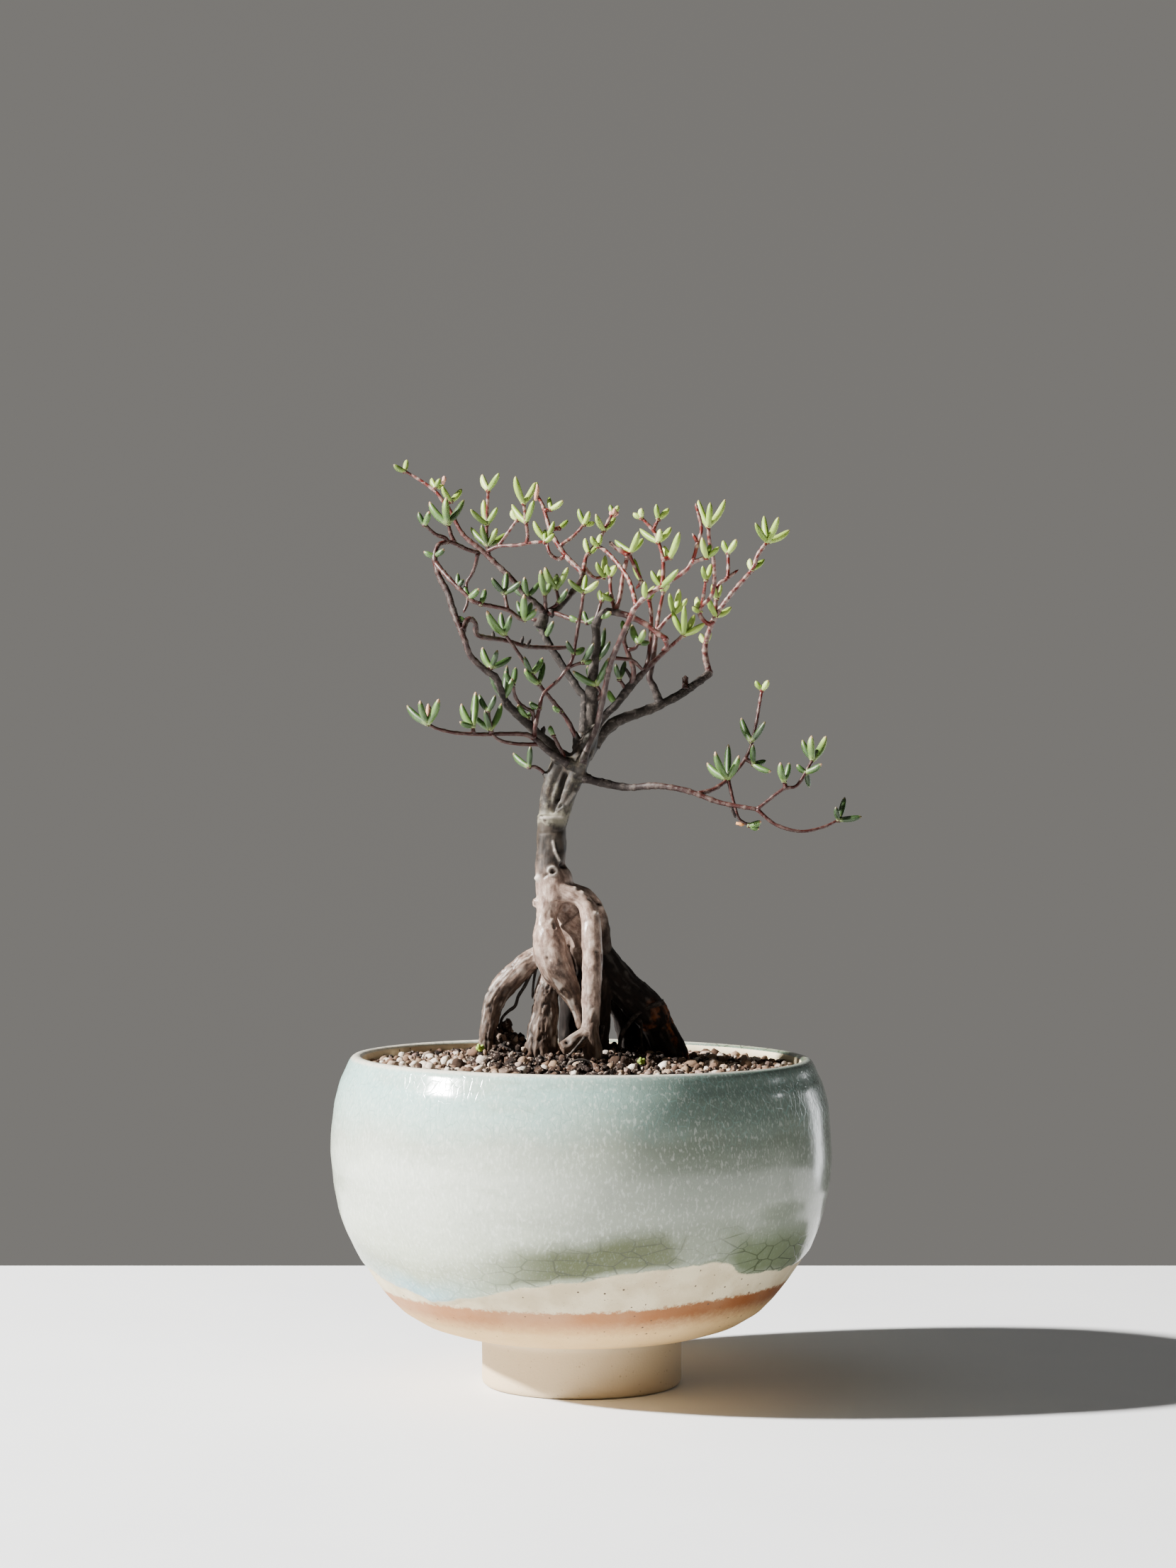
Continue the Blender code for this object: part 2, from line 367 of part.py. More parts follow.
def collection(name, parent):
    made = bpy.data.collections.new(name)
    parent.children.link(made)
    return made


def material(name, colour, roughness):
    made = bpy.data.materials.new(name)
    made.use_nodes = True
    shader = made.node_tree.nodes["Principled BSDF"]
    shader.inputs["Base Color"].default_value = (*colour, 1)
    shader.inputs["Roughness"].default_value = roughness
    return made


def placed(x, z, depth):
    """A seen point carried along the line of sight to its depth, in metres, with the pot's shift."""
    reach = depth + SPREAD * math.copysign(max(0.0, abs(depth) - STEADY_DEPTH), depth)
    scale = 1 + reach / EYE_DISTANCE
    return Vector(
        (EYE_X + (x - EYE_X) * scale + POT_SHIFT, reach, EYE_Z + (z - EYE_Z) * scale)
    ) * MM


def along(path, values):
    """values, spread evenly over the length of path, read at each of its points."""
    steps = np.hypot(*np.diff(np.array(path, float), axis=0).T)
    run = np.concatenate([[0], np.cumsum(steps)]) / steps.sum()
    return np.interp(run, np.linspace(0, 1, len(values)), values)


def tube(points, radii, sides=4, outline=None):
    """A curve object through points, as thick as radii there, with 4 or more sides or an outline."""
    curve = bpy.data.curves.new("tube", "CURVE")
    curve.dimensions = "3D"
    curve.use_fill_caps = True
    if outline:
        curve.bevel_mode = "OBJECT"
        curve.bevel_object = outline
    else:
        curve.bevel_depth = MM
        curve.bevel_resolution = (sides - 4) // 2
    spline = curve.splines.new("POLY")
    spline.points.add(len(points) - 1)
    for knot, point, radius in zip(spline.points, points, radii):
        knot.co = (*point, 1)
        knot.radius = radius
    obj = bpy.data.objects.new("tube", curve)
    bpy.context.scene.collection.objects.link(obj)
    return obj


def triangle_outline():
    """The section of a leaf: three flat sides, one unit in radius, for a curve's bevel."""
    curve = bpy.data.curves.new("leaf section", "CURVE")
    curve.dimensions = "2D"
    spline = curve.splines.new("POLY")
    spline.points.add(2)
    for k, knot in enumerate(spline.points):
        turn = math.radians(90 + 120 * k)
        knot.co = (MM * math.cos(turn), MM * math.sin(turn), 0, 1)
    spline.use_cyclic_u = True
    obj = bpy.data.objects.new("leaf section", curve)
    bpy.context.scene.collection.objects.link(obj)
    obj.hide_render = True
    return obj


def weld_caps(mesh):
    """Joins a tube's loose caps to its sides and turns its faces outward."""
    work = bmesh.new()
    work.from_mesh(mesh)
    bmesh.ops.remove_doubles(work, verts=work.verts, dist=1e-6)
    bmesh.ops.recalc_face_normals(work, faces=work.faces)
    work.to_mesh(mesh)
    work.free()


def as_meshes(objects):
    """Each object's evaluated shape as a mesh object of its own, closed."""
    bpy.context.view_layer.update()
    graph = bpy.context.evaluated_depsgraph_get()
    made = []
    for obj in objects:
        mesh = bpy.data.meshes.new_from_object(obj.evaluated_get(graph))
        if obj.type == "CURVE":
            weld_caps(mesh)
        solid = bpy.data.objects.new(obj.name, mesh)
        solid.matrix_world = obj.matrix_world
        bpy.context.scene.collection.objects.link(solid)
        made.append(solid)
    for obj in objects:
        bpy.data.objects.remove(obj, do_unlink=True)
    return made


def fused(name, pieces, group, look):
    """One node from overlapping solids: a Boolean union on a collection, applied."""
    others = collection("joining", bpy.context.scene.collection)
    for piece in pieces[1:]:
        move_to(piece, others)
    union = pieces[0].modifiers.new("union", "BOOLEAN")
    union.operation = "UNION"
    union.operand_type = "COLLECTION"
    union.collection = others
    union.solver = "MANIFOLD"
    node = as_meshes([pieces[0]])[0]
    for piece in list(others.objects):
        bpy.data.objects.remove(piece, do_unlink=True)
    bpy.data.collections.remove(others)
    return finished(node, name, group, look)


def move_to(obj, group):
    for owner in list(obj.users_collection):
        owner.objects.unlink(obj)
    group.objects.link(obj)


def finished(obj, name, group, look):
    obj.name = name
    move_to(obj, group)
    obj.data.materials.clear()
    obj.data.materials.append(look)
    return obj


def bodies(obj):
    """The point numbers of each separate body of a mesh, the largest first."""
    work = bmesh.new()
    work.from_mesh(obj.data)
    left, found = set(work.verts), []
    while left:
        body, edge = set(), {left.pop()}
        while edge:
            body |= edge
            edge = {e.other_vert(v) for v in edge for e in v.link_edges} - body
        left -= body
        found.append(sorted(v.index for v in body))
    work.free()
    return sorted(found, key=len, reverse=True)


def drop_scraps(obj):
    """Removes the crumbs that a cut leaves beside the main body."""
    crumbs = {index for body in bodies(obj)[1:] for index in body}
    work = bmesh.new()
    work.from_mesh(obj.data)
    bmesh.ops.delete(work, geom=[v for v in work.verts if v.index in crumbs], context="VERTS")
    work.to_mesh(obj.data)
    work.free()


def cut(obj, cutter):
    """Takes cutter out of obj with an exact Boolean, left live on it."""
    modifier = obj.modifiers.new("cut", "BOOLEAN")
    modifier.operation = "DIFFERENCE"
    modifier.object = cutter


def turned(name, profile, steps, closed=True):
    """A solid of revolution from a profile of (radius, height) in millimetres, by a Screw.

    A profile that isn't closed has its first and last points on the axis.
    """
    mesh = bpy.data.meshes.new(name)
    points = [(radius * MM, 0, height * MM) for radius, height in profile]
    edges = [(k, k + 1) for k in range(len(points) - 1)]
    if closed:
        edges.append((len(points) - 1, 0))
    mesh.from_pydata(points, edges, [])
    obj = bpy.data.objects.new(name, mesh)
    bpy.context.scene.collection.objects.link(obj)
    screw = obj.modifiers.new("turn", "SCREW")
    screw.steps = screw.render_steps = steps
    screw.use_merge_vertices = True
    screw.merge_threshold = 0.00001
    return obj


def move_points(obj, rule):
    """Gives every point of obj's mesh the place that rule works out from its old one."""
    count = len(obj.data.vertices)
    points = np.empty(count * 3, np.float32)
    obj.data.vertices.foreach_get("co", points)
    points = rule(points.reshape(-1, 3).astype(float))
    obj.data.vertices.foreach_set("co", points.astype(np.float32).ravel())
    obj.data.update()


def settled(points):
    """Moves the turned pot or soil to the pot's axis and lets its rim lean a little to the right."""
    x = points[:, 0].copy()
    points[:, 2] -= RIM_LEAN * x * (points[:, 2] / (RIM_HEIGHT * MM)) ** 2
    points[:, 0] = x + POT_SHIFT * MM
    return points


def make_pot(group):
    inner = FOOT_RADIUS - FOOT_RING_WALL
    foot = ((inner + 0.5, 0.0), (inner, 0.8), (inner - 1.5, FOOT_RECESS), (DRAIN_RADIUS, FOOT_RECESS))
    floor = ((DRAIN_RADIUS, POT_INSIDE[0][1]),)
    profile = POT_OUTSIDE + foot + floor + POT_INSIDE
    pot = as_meshes([turned("pot", profile, TURN_STEPS)])[0]
    move_points(pot, settled)
    return finished(pot, "pot", group, material("glazed stoneware", *COLOURS["pot"]))


def inside_offset(gap):
    """The pot's inner profile moved off the wall by gap, floor to rim."""
    line = np.array(POT_INSIDE)
    steps = np.gradient(line, axis=0)
    steps /= np.hypot(*steps.T)[:, None]
    return line + gap * np.column_stack([-steps[:, 1], steps[:, 0]])


def soil_height(x, y):
    """Height of the soil in millimetres at (x, y) from the pot's axis: a level with two mounds."""
    height = SOIL_RIM_LEVEL
    for centre_x, centre_y, rise, spread in SOIL_MOUND:
        away = (x - centre_x) ** 2 + (y - centre_y) ** 2
        height = height + rise * np.exp(-away / (2 * spread**2))
    return height


def gravelly(points):
    """Raises the soil's upper points to the mounds, and each to its own grain of gravel."""
    x, y, z = points.T / MM
    radius = np.hypot(x, y)
    top = z > SOIL_RIM_LEVEL - 0.5
    grain = np.array([noise.noise(Vector((a, b, 0.5)) / GRAVEL_CELL) for a, b in zip(x, y)])
    edge = np.clip((GRAVEL_EDGE - radius) / GRAVEL_FADE, 0, 1)
    raised = soil_height(x, y) + GRAVEL_RELIEF * grain * edge
    points[:, 2] = np.where(top, raised, z) * MM
    return points


def make_soil(group, roots):
    """The soil: it fills the pot to a low mound, clear of the wall, the mesh and the roots.

    Its profile runs from the middle of the top out to the wall, down it and back to the axis.
    """
    line = inside_offset(SOIL_GAP)
    edge = np.interp(SOIL_RIM_LEVEL, line[:, 1], line[:, 0])
    top = [(radius, SOIL_RIM_LEVEL) for radius in np.linspace(0, edge, SOIL_RINGS + 1)]
    wall = [tuple(p) for p in line[::-1] if p[0] > SOIL_WALL_START and p[1] < SOIL_RIM_LEVEL - 2]
    floor = POT_INSIDE[0][1] + SOIL_GAP
    over_mesh = floor + MESH_BAR + SOIL_GAP
    under = [(SOIL_FLOOR_RADIUS, floor + 0.9), (MESH_ROOM + 1, floor + 0.2), (MESH_ROOM, over_mesh),
             (0, over_mesh)]
    soil = as_meshes([turned("soil", top + wall + under, TURN_STEPS, closed=False)])[0]
    move_points(soil, gravelly)
    move_points(soil, settled)
    cut(soil, roots)
    soil = as_meshes([soil])[0]
    return finished(soil, "soil", group, material("gravelly soil", *COLOURS["soil"]))


def make_caudex(group):
    """Trunk and standing roots as one grown body: swelling tubes melted together by a remesh."""
    pieces = []
    for points in CAUDEX.values():
        path = [placed(x, z, depth) for x, z, depth, _ in points]
        pieces.append(tube(path, [radius for *_, radius in points], sides=10))
    solids = as_meshes(pieces)
    target = solids[0]
    with bpy.context.temp_override(active_object=target, selected_editable_objects=solids):
        bpy.ops.object.join()
    remesh = target.modifiers.new("melt", "REMESH")
    remesh.mode = "VOXEL"
    remesh.voxel_size = CAUDEX_VOXEL * MM
    smooth = target.modifiers.new("soften", "SMOOTH")
    smooth.factor = 0.6
    smooth.iterations = 4
    fewer = target.modifiers.new("fewer", "DECIMATE")
    fewer.ratio = CAUDEX_KEPT
    caudex = as_meshes([target])[0]
    return finished(caudex, "caudex", group, material("smooth root bark", *COLOURS["caudex"]))


def swollen(obj, gap, name, group):
    """A copy of obj grown by gap all round, to cut its neighbours with."""
    grown = obj.copy()
    grown.data = obj.data.copy()
    grown.name = name
    group.objects.link(grown)
    push = grown.modifiers.new("grow", "DISPLACE")
    push.mid_level = 0
    push.strength = gap * MM
    grown.hide_render = True
    grown.display_type = "WIRE"
    return grown


def thinned(path, depths, radii):
    """Drops the points that lie within THINNING of the line between those kept."""
    keep = [0]
    for k in range(1, len(path) - 1):
        a, b, c = Vector(path[keep[-1]]), Vector(path[k]), Vector(path[k + 1])
        run = (c - a).normalized()
        off = (b - a) - run * (b - a).dot(run)
        if off.length > THINNING or (b - a).length > LONGEST_STEP:
            keep.append(k)
    keep.append(len(path) - 1)
    return [placed(*path[k], depths[k]) for k in keep], [radii[k] for k in keep]


def nearest(seen, x, z):
    return seen[np.argmin(np.hypot(seen[:, 0] - x, seen[:, 1] - z))]


def stem_tubes(limb, outline):
    """The limb's stems as tubes, and every seen point of them with its depth, for the tufts.

    A stem after the first starts inside the stem that it grows from, so its depth there is that
    stem's, and the difference dies away along its length.
    """
    tubes, seen = [], []
    for depths, radii, path in LIMBS[limb]:
        depth, radius = along(path, depths), along(path, radii)
        if seen:
            parent = nearest(np.array(seen), *path[0])[2]
            depth = depth + (parent - depth[0]) * (1 - along(path, (0, 1)))
        slim = outline if max(radii) < SLIM_STEM else None
        tubes.append(tube(*thinned(path, depth, radius * (SLIM_SWELL if slim else 1)), outline=slim))
        for k in range(len(path) - 1):
            for t in np.linspace(0, 1, SEEN_STEPS):
                x, z = (1 - t) * np.array(path[k]) + t * np.array(path[k + 1])
                seen.append((x, z, (1 - t) * depth[k] + t * depth[k + 1]))
    return tubes, np.array(seen)


def leaf_tube(base, angle, length, tilt, outline):
    """A three-sided leaf: narrow at its root, widest past the middle, with a short blunt tip."""
    lean, turn = math.radians(angle), math.radians(tilt)
    run = Vector((math.sin(lean) * math.cos(turn), math.sin(turn), math.cos(lean) * math.cos(turn)))
    reach = length * MM / math.cos(turn)
    bow = Vector((0, 0, 1)) - run * run.z
    root = (-LEAF_SINK * MM / reach, 0.5, 0)
    stations = (root, *(SHORT_LEAF if length < FULL_LEAF else LONG_LEAF))
    points = [base + run * (reach * t) + bow * (reach * rise) for t, _, rise in stations]
    wide = LEAF_HALF_WIDTH * (0.72 + 0.05 * min(length, 7))
    return tube(points, [wide * share for _, share, _ in stations], outline=outline)


def make_limb(name, group, look, trunk, outline):
    draw = random.Random(name)
    tubes, seen = stem_tubes(name, outline)
    for x, z, *leaves in TUFTS[name]:
        foot = nearest(seen, x, z)
        depth = foot[2]
        start, base = placed(foot[0], foot[1], depth), placed(x, z, depth)
        if (base - start).length > TWIG_FROM * MM:
            end = base + (base - start).normalized() * TWIG_PAST * MM
            tubes.append(tube([start, end], TWIG_RADII, outline=outline))
        else:
            base = start
        side = draw.choice((-1, 1))
        for angle, length in (leaf for leaf in leaves if leaf[1] >= SMALLEST_LEAF):
            tilt = side * draw.uniform(*LEAF_TILT)
            side = -side
            tubes.append(leaf_tube(base, angle, length, tilt, outline))
    limb = fused(name, as_meshes(tubes), group, look)
    if len(bodies(limb)) > 1:
        raise RuntimeError(f"a stem or a leaf of {name} doesn't reach the rest")
    cut(limb, trunk)
    limb = finished(as_meshes([limb])[0], name, group, look)
    drop_scraps(limb)
    return limb


def make_mesh_screen(group):
    """The square plastic mesh that keeps the soil off the drain hole: crossed bars, fused."""
    bars = []
    height = POT_INSIDE[0][1] + GAP + MESH_BAR / 2
    for k in range(MESH_BARS):
        place = (k / (MESH_BARS - 1) - 0.5) * (MESH_SIDE - MESH_BAR)
        for turn in (0, 1):
            bpy.ops.mesh.primitive_cube_add(size=1)
            bar = bpy.context.object
            width = MESH_BAR * (1 + MESH_WIDER * turn)
            deep = MESH_BAR * (1 - MESH_THINNER * turn)
            size = (width, MESH_SIDE, deep) if turn else (MESH_SIDE, width, deep)
            where = (place, 0) if turn else (0, place)
            bar.scale = [side * MM for side in size]
            bar.location = ((where[0] + POT_SHIFT) * MM, where[1] * MM, height * MM)
            bpy.ops.object.transform_apply(location=True, rotation=False, scale=True)
            bars.append(bar)
    return fused("drain_mesh", bars, group, material("plastic mesh", *COLOURS["mesh"]))


def main():
    clear_scene()
    scene = bpy.context.scene.collection
    plant = collection("potted mestoklema", scene)
    cutters = collection("cutters", scene)
    make_pot(plant)
    make_mesh_screen(plant)
    caudex = make_caudex(plant)
    roots = swollen(caudex, SOIL_GAP, "root_room", cutters)
    make_soil(plant, roots)
    outline = triangle_outline()
    look = material("stems and leaves", *COLOURS["limb"])
    for name in LIMBS:
        make_limb(name, plant, look, roots, outline)
    bpy.data.objects.remove(outline, do_unlink=True)


main()
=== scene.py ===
# %% [markdown]
# A potted mestoklema, dressed for a photograph.
#
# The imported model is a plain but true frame: a turned pot, its soil, the woody base that stands on
# its roots, and ten leafy limbs. This notebook replaces each of them with a finer piece in the same
# place: stoneware with a pooled and crackled glaze, gravel, furrowed bark and plump little leaves.

# %% Load the frame
import math
import random

import bpy
import numpy as np
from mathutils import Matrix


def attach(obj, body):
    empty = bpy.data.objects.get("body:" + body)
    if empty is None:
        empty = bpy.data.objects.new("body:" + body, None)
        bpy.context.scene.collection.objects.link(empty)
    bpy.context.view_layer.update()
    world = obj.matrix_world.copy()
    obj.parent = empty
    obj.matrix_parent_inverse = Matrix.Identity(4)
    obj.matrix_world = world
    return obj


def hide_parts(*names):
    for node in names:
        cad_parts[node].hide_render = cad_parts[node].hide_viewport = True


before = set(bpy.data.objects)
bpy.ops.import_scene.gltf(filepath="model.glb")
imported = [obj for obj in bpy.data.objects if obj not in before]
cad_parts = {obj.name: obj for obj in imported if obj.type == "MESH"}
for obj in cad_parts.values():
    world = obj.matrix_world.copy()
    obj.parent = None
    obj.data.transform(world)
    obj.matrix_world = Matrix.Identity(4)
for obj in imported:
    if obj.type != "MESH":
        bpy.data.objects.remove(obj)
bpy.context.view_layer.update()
MM = 0.001

# %% [markdown]
# The plant was drawn from one side, so each of its points is written down the way it is seen: how
# far right and how high on the upright plane through the pot's axis, in millimetres. Each stem also
# has a depth, behind that plane or in front of it. A point moves along the line of sight to its
# depth, so from the camera the plant looks right, and from the side it has its real spread.

# %% Where a seen point really is
POT_X = -3.1
EYE = (1.65, 155.2, 870.0)
STEADY_DEPTH, SPREAD = 5.0, 0.8


def placed(x, z, depth):
    """Seen points carried along the sight line to their depth, as places in metres.

    A depth past STEADY_DEPTH goes on 1 + SPREAD times as fast, and offsets from the eye's axis grow by
    1 + depth / distance of the eye.
    """
    x, z, depth = np.broadcast_arrays(*(np.asarray(v, float) for v in (x, z, depth)))
    reach = depth + SPREAD * np.sign(depth) * np.maximum(0, np.abs(depth) - STEADY_DEPTH)
    scale = 1 + reach / EYE[2]
    return np.stack([EYE[0] + (x - EYE[0]) * scale + POT_X, reach, EYE[1] + (z - EYE[1]) * scale], -1) * MM


print("the tip of the long low branch is at", np.round(placed(66.7, 145.9, -12) / MM, 1), "mm")

# %% [markdown]
# The camera stands level in front of the pot. Its height, distance and lens follow from the photo:
# the rim's ellipse gives the height of the eye, and the pot's width in the frame gives the lens.

# %% Camera
LENS, SENSOR, CLIP = 77.0, 36.0, (0.05, 20)


def make_camera():
    """A level camera looking along +Y at the plane through the pot's axis."""
    data = bpy.data.cameras.new("camera")
    data.lens, data.sensor_width = LENS, SENSOR
    data.clip_start, data.clip_end = CLIP
    camera = bpy.data.objects.new("camera", data)
    camera.location = ((POT_X + EYE[0]) * MM, -EYE[2] * MM, EYE[1] * MM)
    camera.rotation_euler = (math.pi / 2, 0, 0)
    bpy.context.scene.collection.objects.link(camera)
    bpy.context.scene.camera = camera


make_camera()
print("camera", round(EYE[2]), "mm away,", EYE[1], "mm up, lens", LENS)

# %% [markdown]
# Smooth random numbers drive almost every natural surface here: clay, glaze, bark and pebbles. They
# are value noise. Whole-number corners of a grid get fixed random heights from a hash of their
# coordinates, and a point between eight corners blends them with a smooth weight.

# %% Noise for whole arrays of points


def corner_value(cell, seed):
    """A fixed random number from -1 to 1 for each whole-number corner, by mixing its coordinates."""
    mixed = cell[..., 0] * 73856093 ^ cell[..., 1] * 19349663 ^ cell[..., 2] * 83492791 ^ seed * 2654435761
    mixed = (mixed ^ (mixed >> 13)) * 1274126177 & 0x7FFFFFFF
    mixed = (mixed ^ (mixed >> 16)) * 69069 & 0x7FFFFFFF
    return mixed / 0x3FFFFFFF - 1


def noise(points, size, seed=1):
    """Value noise: eight corner values blended by 3t^2 - 2t^3 along each axis; size is one cell."""
    scaled = np.asarray(points, float) / size
    cell = np.floor(scaled).astype(np.int64)
    t = scaled - cell
    t = t * t * (3 - 2 * t)
    total = 0
    for corner in range(8):
        step = np.array([corner & 1, corner >> 1 & 1, corner >> 2 & 1])
        weight = np.prod(np.where(step, t, 1 - t), axis=-1)
        total = total + weight * corner_value(cell + step, seed)
    return total


def rough(points, size, octaves=4, seed=1):
    """Layers of noise, each half as large and half as strong as the one before, summed."""
    return sum(noise(points, size / 2**k, seed + k) / 2**k for k in range(octaves))


def smoothstep(low, high, value):
    """0 below low, 1 above high, and a smooth S between."""
    t = np.clip((value - low) / (high - low), 0, 1)
    return t * t * (3 - 2 * t)


print("noise of a sample:", np.round(noise(np.array([[1.2, 3.4, 5.6], [7.0, 8.5, 9.1]]), 1.0), 3))

# %% [markdown]
# Every new piece is a mesh made from grids of points. A grid has rings one after another, each ring
# with the same number of points. The first and last rings close on a pole. Several closed grids can
# be gathered in one piece, each with a few numbers per point that its material reads as attributes.

# %% From grids to a piece


def closed_tubes(grids, **facts):
    """Points, faces and facts of closed tubes: quads between neighbouring rings, fans over the ends.

    grids has the shape (tubes, rings, sides, 3), each ring turning anticlockwise about the way
    forward. A fact is an array that spreads over (tubes, rings, sides), or over that and 3.
    """
    tubes, rings, sides = grids.shape[:3]
    size = rings * sides + 2

    def with_poles(values):
        """Values of every ring point, then the means of the first and of the last ring."""
        body = values.reshape(tubes, rings * sides, -1)
        return np.concatenate([body, values[:, 0].mean(1)[:, None], values[:, -1].mean(1)[:, None]], 1)

    ring, side = np.meshgrid(np.arange(rings - 1), np.arange(sides), indexing="ij")
    here, there = ring * sides + side, ring * sides + (side + 1) % sides
    quads = np.stack([here, there, there + sides, here + sides], -1).reshape(-1, 4)
    turn, last_ring = np.arange(sides), (rings - 1) * sides
    after = (turn + 1) % sides
    fans = np.concatenate([
        np.stack([after, turn, np.full(sides, size - 2)], -1),
        np.stack([last_ring + turn, last_ring + after, np.full(sides, size - 1)], -1),
    ])
    shift = np.arange(tubes)[:, None, None] * size
    spread = {}
    for name, value in facts.items():
        deep = value.ndim > 3
        value = np.broadcast_to(value if deep else value[..., None], (tubes, rings, sides, 3 if deep else 1))
        spread[name] = with_poles(value).reshape(-1, 3) if deep else with_poles(value).ravel()
    points = with_poles(grids).reshape(-1, 3)
    return points, (quads + shift).reshape(-1, 4), (fans + shift).reshape(-1, 3), spread


def gathered(parts):
    """Several such results as one: their points in a row, and their faces renumbered to match."""
    starts = np.cumsum([0] + [len(part[0]) for part in parts])
    points = np.concatenate([part[0] for part in parts])
    quads, fans = (np.concatenate([part[k] + start for part, start in zip(parts, starts)]) for k in (1, 2))
    facts = {name: np.concatenate([part[3][name] for part in parts]) for name in parts[0][3]}
    return points, quads, fans, facts


def store(mesh, facts):
    """Stores facts as attributes of a mesh's points: a number or a vector for each."""
    for name, value in facts.items():
        kind, key = ("FLOAT_VECTOR", "vector") if value.ndim > 1 else ("FLOAT", "value")
        mesh.attributes.new(name, kind, "POINT").data.foreach_set(key, value.astype(np.float32).ravel())


def mesh_of(name, points, quads, fans, facts):
    """A smooth-shaded mesh with its facts."""
    mesh = bpy.data.meshes.new(name)
    mesh.from_pydata(points, [], quads.tolist() + fans.tolist())
    store(mesh, facts)
    mesh.shade_smooth()
    return mesh


def piece(name, shape, material, slot, *nodes):
    """A finished piece of the object: it rides on the root body and stands for its CAD nodes.

    The shape is a mesh, or points, faces and facts such as closed_tubes() hands back.
    """
    mesh = shape if isinstance(shape, bpy.types.Mesh) else mesh_of(name, *shape)
    obj = bpy.data.objects.new(name, mesh)
    bpy.context.scene.collection.objects.link(obj)
    mesh.materials.clear()
    mesh.materials.append(material)
    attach(obj, "root")
    if nodes:
        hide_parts(*nodes)
    print(name, "has", len(mesh.vertices), "points")


# %% [markdown]
# Stems and roots are profiles carried along a path. The path is a smooth curve through the points
# written in the tables, read at even steps, and each ring stands square to it. Every stem runs
# mostly across the view, so the direction of sight serves to set each ring upright.

# %% Smooth paths and swept tubes


def unit(vectors):
    """Vectors scaled to length one."""
    return vectors / np.maximum(np.linalg.norm(vectors, axis=-1, keepdims=True), 1e-12)


def run_along(line):
    """How far along a line each of its points lies."""
    return np.concatenate([[0], np.cumsum(np.linalg.norm(np.diff(line, axis=0), axis=1))])


def read_at(places, run, rows):
    """Rows of values that are known at some runs, read at other places between them."""
    return np.stack([np.interp(places, run, column) for column in rows.T], -1)


def through(values, step):
    """A smooth line through rows of values: Catmull-Rom cubics, read every step of their length.

    Between rows b and c, with a before and d after, the point at t is
    b + t(c - a)/2 + t^2(2a - 5b + 4c - d)/2 + t^3(3b - a - 3c + d)/2. The first three columns are
    the place, which the length is measured on, and the rest come along.
    """
    values = np.asarray(values, float)
    padded = np.concatenate([[2 * values[0] - values[1]], values, [2 * values[-1] - values[-2]]])
    a, b, c, d = (padded[k:len(padded) - 3 + k, None] for k in range(4))
    t = np.linspace(0, 1, 12, endpoint=False)[None, :, None]
    fine = b + t * (c - a) / 2 + t**2 * (2 * a - 5 * b + 4 * c - d) / 2 + t**3 * (3 * b - a - 3 * c + d) / 2
    fine = np.concatenate([fine.reshape(-1, values.shape[1]), values[-1:]])
    run = run_along(fine[:, :3])
    even = np.linspace(0, run[-1], max(3, int(round(run[-1] / step)) + 1))
    return read_at(even, run, fine), even


def frame_along(path):
    """Forward, side and up directions at each point of a path; up is as near the view as it can be."""
    forward = unit(np.gradient(path, axis=0))
    side = unit(np.cross(forward, np.array([0.0, 1.0, 0.0])))
    return forward, side, np.cross(forward, side)


def rings_along(path, radii, sides):
    """Rings of a tube: path + radius * (side cos a + up sin a), turning about the way forward."""
    _, side, up = frame_along(path)
    angle = np.linspace(0, 2 * math.pi, sides, endpoint=False)
    out = side[:, None] * np.cos(angle)[None, :, None] + up[:, None] * np.sin(angle)[None, :, None]
    radii = np.asarray(radii, float)
    radii = radii[:, None] if radii.ndim == 1 else radii
    return path[:, None] + out * radii[..., None]


_, bend = through(((0, 0, 0), (10, 0, 0), (18, 6, 0)), 1)
print("a bend of", round(float(bend[-1]), 1), "mm, read at", len(bend), "points")

# %% [markdown]
# The pot was thrown on a wheel, so it is a turned shape: one closed profile of radius and height,
# carried round the axis. The profile runs from the foot up the outer wall, over the lip, down
# inside, through the drain hole and back under the foot. The glaze is a real skin on it, a few
# tenths of a millimetre thick, that ends in a wavy line with a drip.

# %% Profile of the pot
TURN_SIDES = 288
RIM_LEAN, RIM_HEIGHT = 0.0087, 85.0

# The pot's section as (radius, height), and the glaze's edge as (degrees from the front, height)
POT_PROFILE = (
    (20.0, 0.0), (25.2, 0.0), (25.9, 0.7), (25.8, 5.0), (25.9, 12.6), (27.2, 13.3), (34.2, 14.3),
    (41.0, 16.4), (46.9, 19.8), (50.4, 23.3), (53.9, 27.6), (56.9, 32.0), (59.2, 36.0), (61.2, 40.4),
    (63.0, 45.6), (64.4, 52.0), (65.0, 60.0), (64.9, 66.0), (64.2, 72.7), (62.5, 78.6), (60.4, 82.8),
    (59.5, 84.2), (58.3, 85.0), (57.0, 84.6), (56.3, 83.2), (57.8, 79.0), (59.7, 73.0), (60.6, 65.0),
    (60.3, 56.0), (58.4, 44.0), (55.6, 36.5), (52.0, 30.2), (46.0, 24.8), (39.0, 21.2), (30.0, 18.4),
    (5.2, 18.0), (4.5, 17.2), (4.5, 10.8), (5.4, 10.0), (17.0, 10.0), (18.2, 8.8), (19.4, 0.8),
)
GLAZE_LINE = (
    (-180, 33.5), (-140, 31), (-115, 34.5), (-90, 33), (-70, 31.5), (-55, 29), (-44, 26.6), (-35, 28),
    (-20, 31.5), (0, 34.7), (15, 37), (30, 38), (38, 37.5), (42, 34.5), (60, 33), (75, 34), (90, 36),
    (120, 33), (150, 35.5), (180, 33.5),
)
